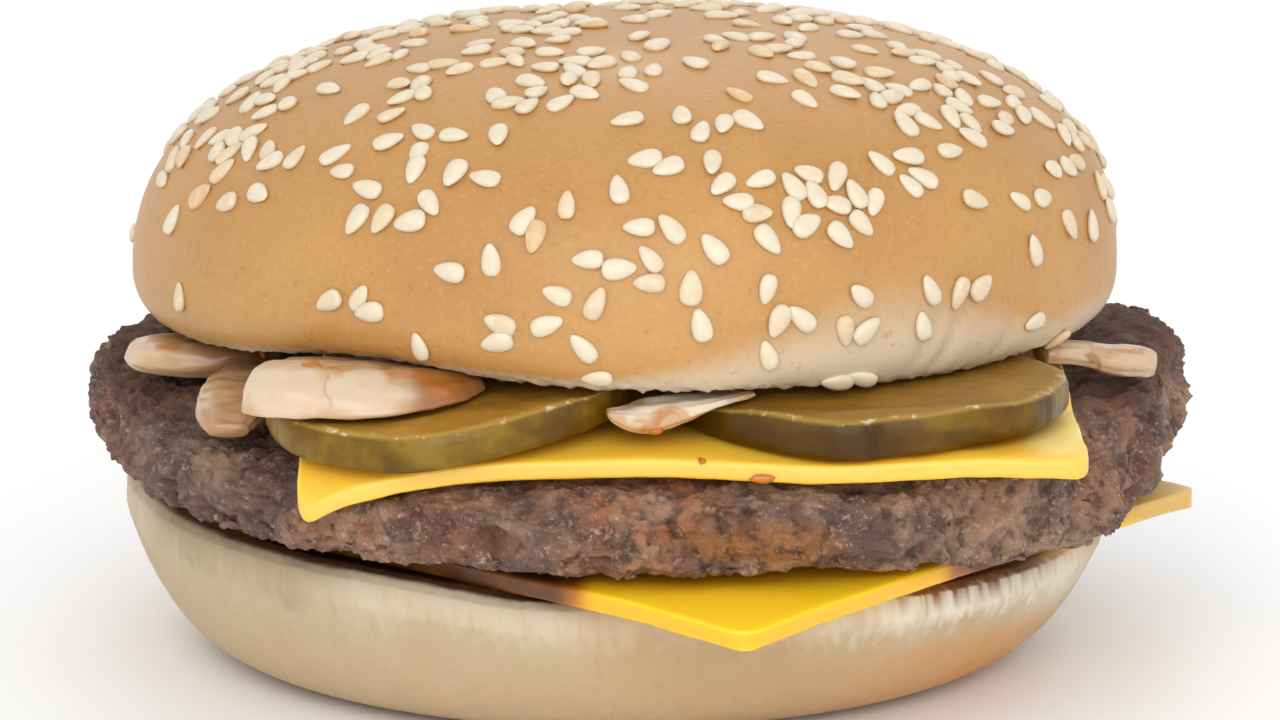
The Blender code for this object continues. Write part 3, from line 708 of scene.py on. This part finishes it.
def add_grains(surface, rings, normal, edge):
    """Crumbs of meat that cling to the browned edge, most of them low down."""
    draw = random.Random(11)
    columns = edge.shape[1]
    spots = []
    while len(spots) < GRAIN_COUNT:
        row = draw.randrange(GRAIN_FIRST_ROW, GRAIN_LAST_ROW)
        column = draw.randrange(columns)
        low = (row - GRAIN_FIRST_ROW) / (GRAIN_LAST_ROW - GRAIN_FIRST_ROW)
        if edge[row, column] < 0.9 or draw.random() > 0.25 + 0.75 * low ** 2:
            continue
        size = draw.uniform(0.20, 0.48) * MM * (1.5 if draw.random() < 0.08 else 1.0)
        radii = (size * draw.uniform(1.0, 1.8), size, size * draw.uniform(0.45, 0.7))
        place = rings[row, column] - normal[row, column] * size * 0.25
        tone = draw.random() ** 6
        spots.append((place, normal[row, column], draw.uniform(0, 6.3), radii, tone))
    return scatter("meat_grains", spots, 4, 7, 1.1, surface, 5)


# Cheese

def upper_cheese_base(x, y):
    radius = np.hypot(x - PATTY_CENTRE, y) / MM
    left = smooth(-x, 5 * MM, 25 * MM) * smooth(-y, 10 * MM, 30 * MM)
    corner = 0.040 * np.maximum(0.0, radius - 52.7) ** 2 * MM
    right = np.minimum(0.6, 0.08 * np.maximum(0.0, radius - 50.0) ** 2) * smooth(x, 20 * MM, 36 * MM) * MM
    fall = np.maximum(front_fall(x, y), right)
    tip = 0.7 * MM * hump(x, y, (-29.0, -51.6), 2.2)
    return PATTY_TOP + patty_crest(x, y) + UPPER_CHEESE_LIFT - fall - corner * left - tip


def lower_cheese_base(x, y):
    past = np.maximum(0.0, np.hypot(x, y) / MM - 50.0)
    return patty_bottom(x) - LAYER_GAP - CHEESE_THICKNESS - 0.0030 * past ** 2 * MM


def upper_cheese_place(across, along):
    centre = UPPER_CHEESE_CENTRE
    return centre.x + across * UPPER_CHEESE_SIDE / 2, centre.y + along * UPPER_CHEESE_SIDE / 2


def lower_cheese_place(across, along):
    right = Vector((math.cos(LOWER_CHEESE_ANGLE), math.sin(LOWER_CHEESE_ANGLE), 0.0))
    left = Vector((-right.y, right.x, 0.0))
    far = LOWER_CHEESE_LENGTH * (across + 1) / 2
    wide = LOWER_CHEESE_WIDTH * (along + 1) / 2
    return (LOWER_CHEESE_TIP.x + right.x * far + left.x * wide,
            LOWER_CHEESE_TIP.y + right.y * far + left.y * wide)


def square_outline(steps):
    """Points round a square from -1 to 1, one for each step."""
    angles = np.linspace(0.0, 8.0, steps, endpoint=False)
    across = np.clip(np.abs((angles - 4.0 + 8.0) % 8.0 - 4.0) - 2.0, -1.0, 1.0)
    along = np.clip(2.0 - np.abs((angles - 2.0) % 8.0 - 4.0), -1.0, 1.0)
    return -across, -along


def rounded_corners(across, along, side):
    reach = 2 * CHEESE_CORNER / side
    over_x = np.maximum(0.0, np.abs(across) - (1 - reach)) / reach
    over_y = np.maximum(0.0, np.abs(along) - (1 - reach)) / reach
    length = np.hypot(over_x, over_y)
    pulled = (np.minimum(over_x, over_y) > 0.0) & (length > 1.0)
    length = np.maximum(length, 1e-9)
    new_x = np.where(pulled, np.sign(across) * (1 - reach + reach * over_x / length), across)
    new_y = np.where(pulled, np.sign(along) * (1 - reach + reach * over_y / length), along)
    return new_x, new_y


def cheese_rows(side):
    """Share of the slice and height of each ring: over the top, round the edge and back underneath."""
    inset = 2 * CHEESE_ROUND / side
    edge = []
    for step in range(4):
        angle = math.pi / 2 * step / 3
        edge.append((1.0 - inset + inset * math.sin(angle),
                     CHEESE_ROUND / CHEESE_THICKNESS * (1 - math.cos(angle))))
    rows = [(share, 1.0) for share in np.linspace(0.02, 1.0 - inset, 46)]
    rows += [(share, 1.0 - drop) for share, drop in edge[1:]]
    rows += [(1.0, height) for height in (0.66, 0.5, 0.34)] + edge[::-1]
    return rows + [(share, 0.0) for share in np.linspace(1.0 - inset, 0.02, 24)[1:]]


def add_cheese(name, place, base, side, surface):
    """A square slice, whose rings follow its outline."""
    across, along = square_outline(400)
    rows = cheese_rows(side)
    rings = []
    for share, height in rows:
        x, y = place(*rounded_corners(across * share, along * share, side))
        rings.append(np.stack([x, y, base(x, y) + CHEESE_THICKNESS * height], axis=-1))
    rings = np.array(rings)
    shares, heights = (np.repeat(values[:, None], len(across), axis=1) for values in np.array(rows).T)
    waves = noise_at(rings, 90.0, (4.0, 4.0, 4.0), 2)
    rings[..., 2] += 0.10 * MM * waves * smooth(shares, 0.5, 0.9)
    ragged = noise_at(rings, 350.0, (1.0, 2.0, 3.0), 2) * smooth(shares, 0.985, 0.999)
    rings += outward(rings) * (0.09 * MM * ragged)[..., None]
    cut = smooth(shares, 0.994, 0.999) * smooth(heights, 0.02, 0.2) * (1.0 - smooth(heights, 0.85, 0.99))
    grainy = noise_at(rings, 260.0, (7.0, 0.0, 2.0), 2)
    x, y = picture_place(rings)
    # At the left and the right the slice runs in under the patty; there it gets painted shade.
    at_left = smooth(-x, -605.0, -545.0) * smooth(y, 532.0, 546.0)
    at_right = smooth(x, 930.0, 980.0) * (1.0 - smooth(x, 1085.0, 1105.0)) * smooth(y, 536.0, 546.0)
    under_meat = (at_left + at_right) * (0.9 + 0.3 * grainy)
    masks = {"cut": cut,
             "lower_edge": smooth(shares, 0.98, 0.999) * (1.0 - smooth(heights, 0.05, 0.35)) * 0.7,
             "pale": patch(rings, (1058, 432), (44, 26)) * 0.9,
             "tan": patch(rings, (1165, 492), (90, 40)) * 0.85,
             # Painted shade under the patty's edge.
             "stained": np.clip(under_meat, 0.0, 1.0) * 0.95}
    return add_rings(name, rings, surface, masks)


# Pickles

def pickle_left_base(x, y):
    lift = 0.055 * np.maximum(0.0, x + 20 * MM) * smooth(-y, 30 * MM, 46 * MM)
    return PATTY_TOP + UPPER_CHEESE_LIFT + CHEESE_THICKNESS + LAYER_GAP - front_fall(x, y) * 1.1 + lift


def pickle_right_base(x, y):
    return PATTY_TOP + UPPER_CHEESE_LIFT + CHEESE_THICKNESS + LAYER_GAP - front_fall(x, y)


def pickle_profile(thickness):
    """Radius as a share of the slice's, and height over its underside."""
    rows = [(share, thickness) for share in np.linspace(0.03, 0.93, 26)]
    rim = [(0.95, thickness), (0.975, thickness - 0.06 * MM), (0.99, thickness - 0.25 * MM),
           (1.0, thickness * 0.8), (1.003, thickness * 0.5), (1.0, thickness * 0.2), (0.985, 0.15 * MM),
           (0.96, 0.0)]
    for first, second in zip(rim, rim[1:]):
        for step in range(3):
            share = step / 3
            rows.append([start + (end - start) * share for start, end in zip(first, second)])
    rows += [(share, 0.0) for share in np.linspace(0.96, 0.03, 14)]
    return np.array(rows)


def add_pickle(name, shape, base, surface):
    profile = pickle_profile(shape["thickness"])
    rings = turned(profile, 420)
    angle = np.arctan2(rings[..., 1], rings[..., 0])
    share = np.hypot(rings[..., 0], rings[..., 1])
    height = rings[..., 2].copy()
    level = height / shape["thickness"]
    direction, dent = shape["dent"]
    spread = 1.0 - dent * np.exp(-((angle - direction) / 0.16) ** 2)
    spread += 0.012 * np.sin(3 * angle + 1.0) + 0.008 * np.sin(7 * angle)
    round_about = np.stack([np.cos(angle), np.sin(angle), np.zeros(angle.shape)], axis=-1)
    ribs = noise_at(round_about, 7.0, (2.0, 0.0, 0.0), 3)
    spread += 0.006 * ribs * smooth(share, 0.9, 1.0)
    x = shape["centre"][0] + rings[..., 0] * shape["half"][0] * spread
    y = shape["centre"][1] + rings[..., 1] * shape["half"][1] * spread
    thickness = height * (1.0 - shape["thin"] * (1.0 - smooth(x, 6 * MM, 16 * MM)))
    thickness *= 1.0 + PICKLE_LIP * smooth(-y, 46 * MM, 50 * MM)
    rings = np.stack([x, y, thickness + base(x, y)], axis=-1)
    grain = noise_at(rings, 500.0, (3.0, 3.0, 3.0), 3)
    rings[..., 2] += 0.10 * MM * grain * smooth(level, 0.9, 1.0) * (1.0 - smooth(share, 0.9, 0.97))
    skin = smooth(share, 0.95, 0.985) * (1.0 - smooth(level, 0.90, 0.985))
    masks = {
        "skin": skin,
        "dark": smooth(noise_at(rings, (120.0, 120.0, 240.0), (6.0, 1.0, 4.0), 3), 0.0, 0.5) * 0.7,
        # The right slice darker on its top, darker still on its skin away from its right end, with a dark
        # line down the dent: painted shade.
        "deep": np.maximum(skin * (1.0 - smooth(x, 24 * MM, 36 * MM)) * 0.75, 0.26)
        * smooth(x, 2 * MM, 8 * MM) + 0.7 * skin * patch(rings, (872, 442), (6, 26), 8),
        # A lighter line round the top edge, where the bright specks also go: painted highlight.
        "rim": smooth(share, 0.93, 0.97) * smooth(level, 0.9, 0.97) * 0.5}
    return add_rings(name, rings, surface, masks)


# Onions

def rounded_section():
    section = []
    for step in range(8):
        angle = 2 * math.pi * (step + 0.5) / 8
        section.append((math.copysign(abs(math.cos(angle)) ** 0.6, math.cos(angle)),
                        math.copysign(abs(math.sin(angle)) ** 0.8, math.sin(angle))))
    return section


def curve_through(values, count, closed=False):
    """More points on a smooth curve through the given ones."""
    values = np.array(values, dtype=float)
    size = len(values)
    spots = np.linspace(0, size if closed else size - 1, count, endpoint=not closed)
    made = []
    for spot in spots:
        index = min(int(spot), size - 1 if closed else size - 2)
        t = spot - index
        if closed:
            near = [values[(index + step) % size] for step in (-1, 0, 1, 2)]
        else:
            near = [values[min(size - 1, max(0, index + step))] for step in (-1, 0, 1, 2)]
        a, b, c, d = near
        made.append(b + 0.5 * t * (c - a + t * (2 * a - 5 * b + 4 * c - d + t * (3 * (b - c) + d - a))))
    return np.array(made)


def add_onion(name, stations, section, surface, blots, stained=None):
    """A piece of onion lofted through stations, each (x, y, z, width, thickness) in millimetres.

    A blot is a mask, its strength, how ragged it is and its ellipses of the picture.
    """
    section = curve_through(section, ONION_COLUMNS, closed=True)
    path = curve_through(stations, ONION_ROWS)
    tangents = np.gradient(path[:, :3], axis=0)
    rings = []
    for (x, y, z, width, thickness), tangent in zip(path, tangents):
        along = Vector(tangent).normalized()
        side = along.cross(Vector((0.0, 0.0, 1.0))).normalized()
        up = side.cross(along)
        ring = [np.array((x, y, z)) + np.array(side) * across * width / 2
                + np.array(up) * rise * thickness / 2 for across, rise in section]
        rings.append(ring)
    rings = np.array(rings) * MM
    rings = rings[:, ::-1]
    around = np.repeat(np.arange(ONION_COLUMNS)[None, :], ONION_ROWS, axis=0) / ONION_COLUMNS
    ridge = np.sin(around * 2 * math.pi * 9) * ONION_RIDGE * MM
    fine = noise_at(rings, (260.0, 500.0, 700.0), (3.0, 2.0, 1.0), 2) * 0.16 * MM
    steps = np.arange(ONION_ROWS)
    fade = smooth(np.minimum(steps, ONION_ROWS - 1 - steps), 0, 8)[:, None]
    rings = rings + outward(rings) * ((ridge + fine) * fade)[..., None]
    masks = {mask: np.zeros(around.shape) for mask in ("sauce", "white", "stained", "vein")}
    for mask, strength, ragged, places in blots:
        masks[mask] = strength * blotches(rings, places, ragged)
    if stained:
        masks["stained"] = stained(rings)
    return add_rings(name, rings, surface, masks)


def blotches(rings, spots, ragged):
    """The strongest of several ellipses of the picture, each (x, y, half width, half height, turn)."""
    jitter = noise_at(rings, 420.0, (5.0, 5.0, 5.0), 4)
    drift = np.stack([noise_at(rings, 260.0, (shift, 1.0, 3.0), 3) for shift in (2.0, 8.0, 14.0)], axis=-1)
    made = np.zeros(rings.shape[:-1])
    for x, y, half_width, half_height, turn in spots:
        made = np.maximum(made, patch(rings + 1.6 * MM * drift, (x, y), (half_width, half_height), turn))
    return smooth(made + 1.6 * ragged * jitter, 0.1, 1.1)


def add_onions(surface):
    plain = rounded_section()
    return {
        "onion_far_left": add_onion("onion_piece_far_left", [
            (-48.8, -14.6, 33.2, 3.8, 1.6), (-47.2, -14.9, 32.6, 7.0, 3.2), (-43.0, -15.2, 32.4, 8.6, 3.7),
            (-38.0, -14.9, 32.3, 8.0, 3.2), (-34.5, -14.0, 32.2, 6.0, 2.4)], plain, surface, [
                ("sauce", 0.8, 0.35, [(184, 336, 44, 8, -12), (172, 352, 18, 9, 0)]),
                ("white", 0.4, 0.2, [(142, 356, 26, 22, 0)])],
            # Browner on its right part, which runs in under the crown: amber stain and painted shade.
            lambda rings: smooth(rings[..., 0], -46 * MM, -37 * MM) * 0.9),
        "onion_side_left": add_onion("onion_piece_side_left", [
            (-37.4, -38.6, 29.9, 4.0, 1.4), (-37.4, -35.4, 30.7, 6.6, 2.4), (-37.0, -31.0, 31.5, 7.6, 2.9),
            (-36.4, -27.0, 32.0, 7.4, 2.9), (-35.6, -23.0, 32.2, 5.6, 2.4)], plain, surface, [
                ("white", 0.4, 0.3, [(206, 400, 14, 16, 0)]),
                ("sauce", 0.3, 0.35, [(228, 424, 16, 8, 0)])],
            lambda rings: 0.5 - 0.4 * blotches(rings, [(212, 392, 20, 20, 0)], 0.35)),
        "onion_large": add_onion("onion_piece_large", [
            (-33.4, -42.5, 35.4, 10.6, 3.4), (-31.8, -43.0, 35.5, 12.4, 3.8), (-27.2, -43.6, 35.6, 13.0, 3.8),
            (-22.2, -43.8, 35.6, 12.4, 3.4), (-17.8, -42.8, 35.7, 10.4, 2.5), (-14.2, -40.6, 35.8, 7.0, 1.4)],
            WEDGE_SECTION, surface, [
                ("white", 0.6, 0.1, [(282, 388, 54, 34, -8), (360, 392, 54, 32, -4)]),
                ("vein", 0.4, 0.05, [(327, 390, 3, 26, 8)]),
                ("sauce", 0.85, 0.35, [(312, 364, 34, 6, -4), (404, 370, 44, 10, -12),
                                       (440, 384, 30, 12, 0)])],
            lambda rings: smooth(picture_place(rings)[0], 396, 430) * 0.95),
        "onion_middle": add_onion("onion_piece_middle", [
            (-0.6, -48.6, 33.9, 2.0, 0.6), (2.0, -48.2, 33.3, 5.4, 2.6), (5.0, -46.9, 33.7, 6.0, 2.4),
            (8.4, -45.6, 34.4, 5.4, 1.1), (12.6, -43.4, 34.9, 4.0, 0.6)], plain, surface, [
                ("white", 1.0, 0.15, [(672, 400, 76, 15, 2)]),
                ("sauce", 0.8, 0.2, [(652, 424, 34, 7, 0)])]),
        "onion_right": add_onion("onion_piece_right", [
            (53.9, -15.4, 31.7, 3.4, 2.7), (52.8, -15.8, 31.9, 4.4, 3.1), (50.0, -17.0, 32.3, 4.6, 3.0),
            (47.6, -17.9, 33.0, 4.6, 2.5), (45.0, -19.0, 33.6, 4.6, 2.2), (42.6, -19.8, 33.7, 4.2, 1.9)],
            plain, surface, [
                ("white", 0.35, 0.15, [(1130, 364, 40, 14, 0), (1078, 358, 16, 18, 0)]),
                ("vein", 0.8, 0.1, [(1094, 360, 2.5, 16, 20)]),
                ("sauce", 0.6, 0.35, [(1122, 349, 20, 4, -6), (1140, 351, 10, 5, 0)])],
            lambda rings: np.full(rings.shape[:-1], 0.2))}


# Crown

def crown_rule(points):
    """Tips the turned crown back, bends its rim and lifts the rim over the large piece of onion."""
    x, y, z = points[..., 0], points[..., 1], points[..., 2]
    low = 1.0 - smooth(z, CROWN_RIM_HEIGHT + 2 * MM, CROWN_WIDEST_HEIGHT + 7 * MM)
    bend = CROWN_RIM_BEND * y * y
    lift = CROWN_RAISED * hump(x, y, (-23.5, -40.0), 16.0)
    lift = lift - CROWN_SUNK * hump(x, y, (30.0, -38.0), 14.0)
    lean = CROWN_LEAN * x * (1.0 - low)
    return np.stack([x + CROWN_CENTRE, y, z + CROWN_TILT * y + lean + (bend + lift) * low], axis=-1)


def crown_side(share):
    """Radius and height on the dome: share 0 is the widest ring and 1 the top."""
    angle = math.pi / 2 * share
    radius = CROWN_RADIUS * max(0.0, math.cos(angle)) ** (2 / CROWN_ROUNDNESS)
    rise = (CROWN_TOP_HEIGHT - CROWN_WIDEST_HEIGHT) * math.sin(angle) ** (2 / CROWN_ROUNDNESS)
    return radius, CROWN_WIDEST_HEIGHT + rise


def crown_profile():
    dome = [crown_side(share) for share in np.linspace(0.998, 0.0, 500)]
    low = []
    for step in range(31):
        angle = math.pi / 2 * step / 30
        radius = CROWN_RIM_RADIUS + (CROWN_RADIUS - CROWN_RIM_RADIUS) * math.cos(angle)
        low.append((radius, CROWN_WIDEST_HEIGHT - (CROWN_WIDEST_HEIGHT - CROWN_RIM_HEIGHT) * math.sin(angle)))
    hollow = []
    for radius in np.linspace(46.6, 1.0, 34):
        rise = CROWN_HOLLOW * (1.0 - float(smooth(radius, 34.0, 45.5)))
        hollow.append((radius * MM, CROWN_RIM_HEIGHT + 0.15 * MM + rise))
    return np.concatenate((evenly(dome, CROWN_DOME_ROWS), evenly(low, CROWN_LOW_ROWS)[1:], np.array(hollow)))


def add_crown(surface):
    turned_rings = turned(crown_profile(), 480)
    rings = crown_rule(turned_rings)
    normal = outward(rings)
    height = turned_rings[..., 2]
    angle = np.degrees(np.arctan2(turned_rings[..., 1], turned_rings[..., 0]))
    over_rim = (height - CROWN_RIM_HEIGHT) / MM
    row = np.repeat(np.arange(rings.shape[0])[:, None], rings.shape[1], axis=1)
    hollow_row = CROWN_DOME_ROWS + CROWN_LOW_ROWS - 1
    outside = row <= hollow_row
    swell = noise_at(rings, 45.0, (2.0, 2.0, 2.0), 2)
    rim_noise = noise_at(rings, 1300.0, (1.0, 0.0, 6.0), 3)
    at_rim = np.exp(-(over_rim / 0.9) ** 2) * smooth(row, CROWN_DOME_ROWS, hollow_row - 1)
    at_rim *= 1.0 - smooth(row, hollow_row + 2, hollow_row + 5)
    dimple = hump(rings[..., 0], rings[..., 1], (0.5, -26.0), 4.5) * smooth(height, 50 * MM, 55 * MM)
    creases = np.zeros(angle.shape)
    for place, width, depth in ((-53.5, 0.9, 0.5), (-57.0, 0.7, 0.35), (-44.0, 1.2, 0.3),
                                (-125.0, 1.4, 0.25)):
        creases += depth * np.exp(-((angle - place - 0.6 * over_rim) / width) ** 2)
    creases *= smooth(over_rim, 0.5, 2.5) * (1.0 - smooth(over_rim, 5.0, 9.0)) * outside
    relief = 0.14 * swell - 0.35 * dimple - creases + 0.34 * rim_noise * at_rim
    rings = rings + normal * (relief * MM)[..., None]
    at_right = smooth(angle, -112.0, -86.0)
    band = 0.5 + 1.0 * at_right + 6.8 * np.exp(-((angle + 60.0) / 21.0) ** 2)
    band += 1.6 * np.exp(-((angle + 20.0) / 20.0) ** 2)
    band = np.maximum(band + 0.9 * swell + 0.5 * rim_noise, 0.3)
    pale = np.where(outside, 1.0 - smooth(over_rim, 0.25 * band, 1.25 * band), 1.0)
    masks = {
        "pale": np.clip(pale, 0.0, 1.0) * 0.9,
        "torn": np.clip(np.where(outside, at_rim * smooth(rim_noise, -0.3, 0.3), 0.0), 0.0, 1.0)
        * (0.25 + 0.55 * at_right),
        # Lighter colour at the dimple on the top: painted highlight.
        "dimple": dimple * 0.6,
        "brown": np.clip(smooth(swell, -0.1, 0.5) * smooth(over_rim, 3.0, 9.0) * 0.35, 0.0, 1.0)}
    return add_rings("crown_crust", rings, surface, masks)


def seed_form():
    """Points of a sesame seed of unit length along X: a flat teardrop, pointed at +X."""
    rows, columns = 8, 10
    points = [(0.5, 0.0, 0.0)]
    for row in range(1, rows + 1):
        polar = math.pi * row / (rows + 1)
        along = math.cos(polar) / 2
        wide = math.sin(polar) ** 0.75 / 2 * (1.0 - 0.52 * along - 0.16 * along * along * 4 * (along > 0))
        for column in range(columns):
            angle = 2 * math.pi * column / columns
            points.append((along, wide * math.cos(angle), wide * math.sin(angle)))
    points.append((-0.5, 0.0, 0.0))
    return np.array(points), rows, columns


def seed_spots(tree):
    """Where the seeds lie: those that show well at their places, and the others by a seeded rule."""
    draw = random.Random(7)
    spots = []
    right, upward, _ = view_axes()
    for x, y, degrees in FRONT_SEEDS:
        eye, direction = picture_ray(x, y)
        place, normal, _, _ = tree.ray_cast(eye, direction)
        if place is None:
            continue
        turn = math.radians(degrees)
        spots.append((place, normal, right * math.cos(turn) + upward * math.sin(turn)))
    shown = len(spots)
    tries = 0
    while len(spots) < SEED_COUNT + shown and tries < SEED_TRIES:
        tries += 1
        angle = draw.uniform(-math.pi, math.pi)
        share = draw.uniform(0.01, 0.99)
        radius, height = crown_side(share)
        level = (height - CROWN_WIDEST_HEIGHT) / (CROWN_TOP_HEIGHT - CROWN_WIDEST_HEIGHT)
        clump = noise.noise((radius * math.cos(angle) * 95, radius * math.sin(angle) * 95, 4.0))
        wanted = (0.16 + 0.84 * float(smooth(level, 0.25, 0.8))) * radius / CROWN_RADIUS
        wanted *= max(0.0, 1.0 + 2.0 * clump)
        turn = draw.uniform(0, 2 * math.pi)
        if draw.random() > wanted:
            continue
        ring = np.array([radius * math.cos(angle), radius * math.sin(angle), height])
        place = Vector(crown_rule(ring))
        found, normal, _, _ = tree.find_nearest(place)
        across, down = picture_place(np.array(found))
        facing = found.y < 0.0 and normal.dot(upward) < 0.75
        crowded = any(
            (found - other[0]).length < (SHOWN_SEED_SPACING if facing and index < shown else SEED_SPACING)
            for index, other in enumerate(spots))
        if crowded or (facing and 190 < across < 1080 and down > 200):
            continue
        spots.append((found, normal, Vector((math.cos(turn), math.sin(turn), draw.uniform(-1, 1)))))
    return spots


def add_seeds(surface, tree):
    draw = random.Random(3)
    form, rows, columns = seed_form()
    points, faces, tones = [], [], []
    count = 0
    for place, normal, pointing in seed_spots(tree):
        normal = (normal + Vector([draw.uniform(-0.12, 0.12) for _ in range(3)])).normalized()
        along = (pointing - normal * pointing.dot(normal)).normalized()
        side = normal.cross(along)
        size = draw.uniform(0.90, 1.08)
        scale = np.array([SEED_LENGTH * size, SEED_WIDTH * size * draw.uniform(0.9, 1.08),
                          SEED_THICKNESS * size])
        basis = np.array([along, side, normal])
        lift = normal * SEED_THICKNESS * draw.uniform(0.12, 0.3)
        points.append((form * scale) @ basis + np.array(place + lift))
        faces += ring_faces(rows, columns, count)
        tone = draw.random() ** 4 * 0.6 if draw.random() < 0.96 else 0.9
        tones.append(np.full(len(form), tone))
        count += len(form)
    return add_piece("seeds", np.concatenate(points), faces, surface, {"tone": np.concatenate(tones)})


# Sauce drops

def drops_at(tree, spots):
    made = []
    for x, y, radii, turn in spots:
        eye, direction = picture_ray(x, y)
        place, normal, _, _ = tree.ray_cast(eye, direction)
        if place is None:
            continue
        made.append((place, normal, math.radians(turn), tuple(radius * MM for radius in radii), 0.0))
    return made


def tree_of(objects):
    points, faces = [], []
    for obj in objects:
        first = len(points)
        points += [vertex.co.copy() for vertex in obj.data.vertices]
        faces += [[first + index for index in polygon.vertices] for polygon in obj.data.polygons]
    return BVHTree.FromPolygons(points, faces)


# Stage

def add_stage():
    size = 3.0
    mesh = bpy.data.meshes.new("floor")
    corners = [(-size, -size, 0), (size, -size, 0), (size, size, 0), (-size, size, 0)]
    mesh.from_pydata(corners, [], [(0, 1, 2, 3)])
    mesh.materials.append(floor_surface())
    floor = bpy.data.objects.new("floor", mesh)
    floor.location.z = -0.05 * MM
    bpy.context.scene.collection.objects.link(floor)


def add_light(name, place, target, size, power):
    data = bpy.data.lights.new(name, "AREA")
    data.shape = "SQUARE"
    data.size = size
    data.energy = power
    obj = bpy.data.objects.new(name, data)
    obj.location = place
    obj.rotation_euler = (Vector(target) - Vector(place)).to_track_quat("-Z", "Y").to_euler()
    bpy.context.scene.collection.objects.link(obj)


def add_lights():
    middle = (0.0, 0.0, 0.03)
    add_light("key", (-0.35, -0.75, 0.75), middle, 0.5, 1.2)
    add_light("fill", (0.75, -0.65, 0.40), middle, 0.5, 0.5)
    add_light("low", (0.05, -0.85, 0.30), middle, 0.6, 2.9)
    add_light("back", (0.1, 0.7, 0.7), middle, 0.5, 0.6)
    world = bpy.data.worlds.new("studio")
    world.use_nodes = True
    background = world.node_tree.nodes["Background"]
    background.inputs["Color"].default_value = (1.0, 1.0, 1.0, 1.0)
    background.inputs["Strength"].default_value = 0.98
    bpy.context.scene.world = world
    bpy.context.scene.view_settings.view_transform = "Standard"


def add_camera():
    data = bpy.data.cameras.new("camera")
    data.lens = CAMERA_LENS
    data.sensor_width = CAMERA_SENSOR
    obj = bpy.data.objects.new("camera", data)
    forward = view_axes()[2]
    obj.location = CAMERA_TARGET - forward * CAMERA_DISTANCE
    obj.rotation_euler = (math.pi / 2 - CAMERA_ELEVATION, 0.0, 0.0)
    bpy.context.scene.collection.objects.link(obj)
    bpy.context.scene.camera = obj


def stand_for(piece, node):
    """The piece rides with the burger and is shown in place of the solid."""
    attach(piece, "root")
    if node:
        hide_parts(node)


def build():
    deep_cheese = cheese_surface("cheese_slice_deep", (255, 206, 30), (247, 182, 26))
    cheese = cheese_surface("cheese_slice_light", (242, 192, 60), (240, 190, 80))
    pickle = pickle_surface()
    stand_for(add_heel(heel_surface()), "heel")
    meat, rings, normal, edge = add_patty(patty_surface())
    stand_for(meat, "patty")
    stand_for(add_grains(grain_surface(), rings, normal, edge), None)
    lower = add_cheese("cheese_slice_lower", lower_cheese_place, lower_cheese_base, LOWER_CHEESE_WIDTH,
                       deep_cheese)
    stand_for(lower, "cheese_lower")
    upper = add_cheese("cheese_slice_upper", upper_cheese_place, upper_cheese_base, UPPER_CHEESE_SIDE, cheese)
    stand_for(upper, "cheese_upper")
    left = add_pickle("pickle_slice_left", PICKLE_LEFT, pickle_left_base, pickle)
    stand_for(left, "pickle_left")
    right = add_pickle("pickle_slice_right", PICKLE_RIGHT, pickle_right_base, pickle)
    stand_for(right, "pickle_right")
    onions = add_onions(onion_surface())
    for node, piece in onions.items():
        stand_for(piece, node)
    crown = add_crown(crust_surface())
    stand_for(crown, "crown")
    stand_for(add_seeds(seed_surface(), tree_of([crown])), None)
    drops = drops_at(tree_of(list(onions.values()) + [upper, left, right]), [
        (657, 431, (0.4, 0.7, 0.3), 0), (762, 479, (0.5, 1.3, 0.3), 0), (702, 461, (0.5, 0.4, 0.25), 0),
        (890, 485, (0.35, 0.3, 0.2), 0), (312, 366, (1.1, 0.5, 0.25), 0), (264, 355, (0.5, 0.4, 0.25), 0)])
    stand_for(scatter("sauce_drops", drops, 7, 12, 0.35, sauce_surface(), 2), None)


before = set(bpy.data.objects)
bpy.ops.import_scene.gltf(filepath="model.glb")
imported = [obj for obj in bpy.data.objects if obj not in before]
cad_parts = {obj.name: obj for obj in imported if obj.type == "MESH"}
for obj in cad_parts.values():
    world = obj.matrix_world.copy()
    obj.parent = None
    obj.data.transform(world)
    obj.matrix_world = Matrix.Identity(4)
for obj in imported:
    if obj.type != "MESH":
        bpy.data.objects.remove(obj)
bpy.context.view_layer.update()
build()
add_stage()
add_lights()
add_camera()
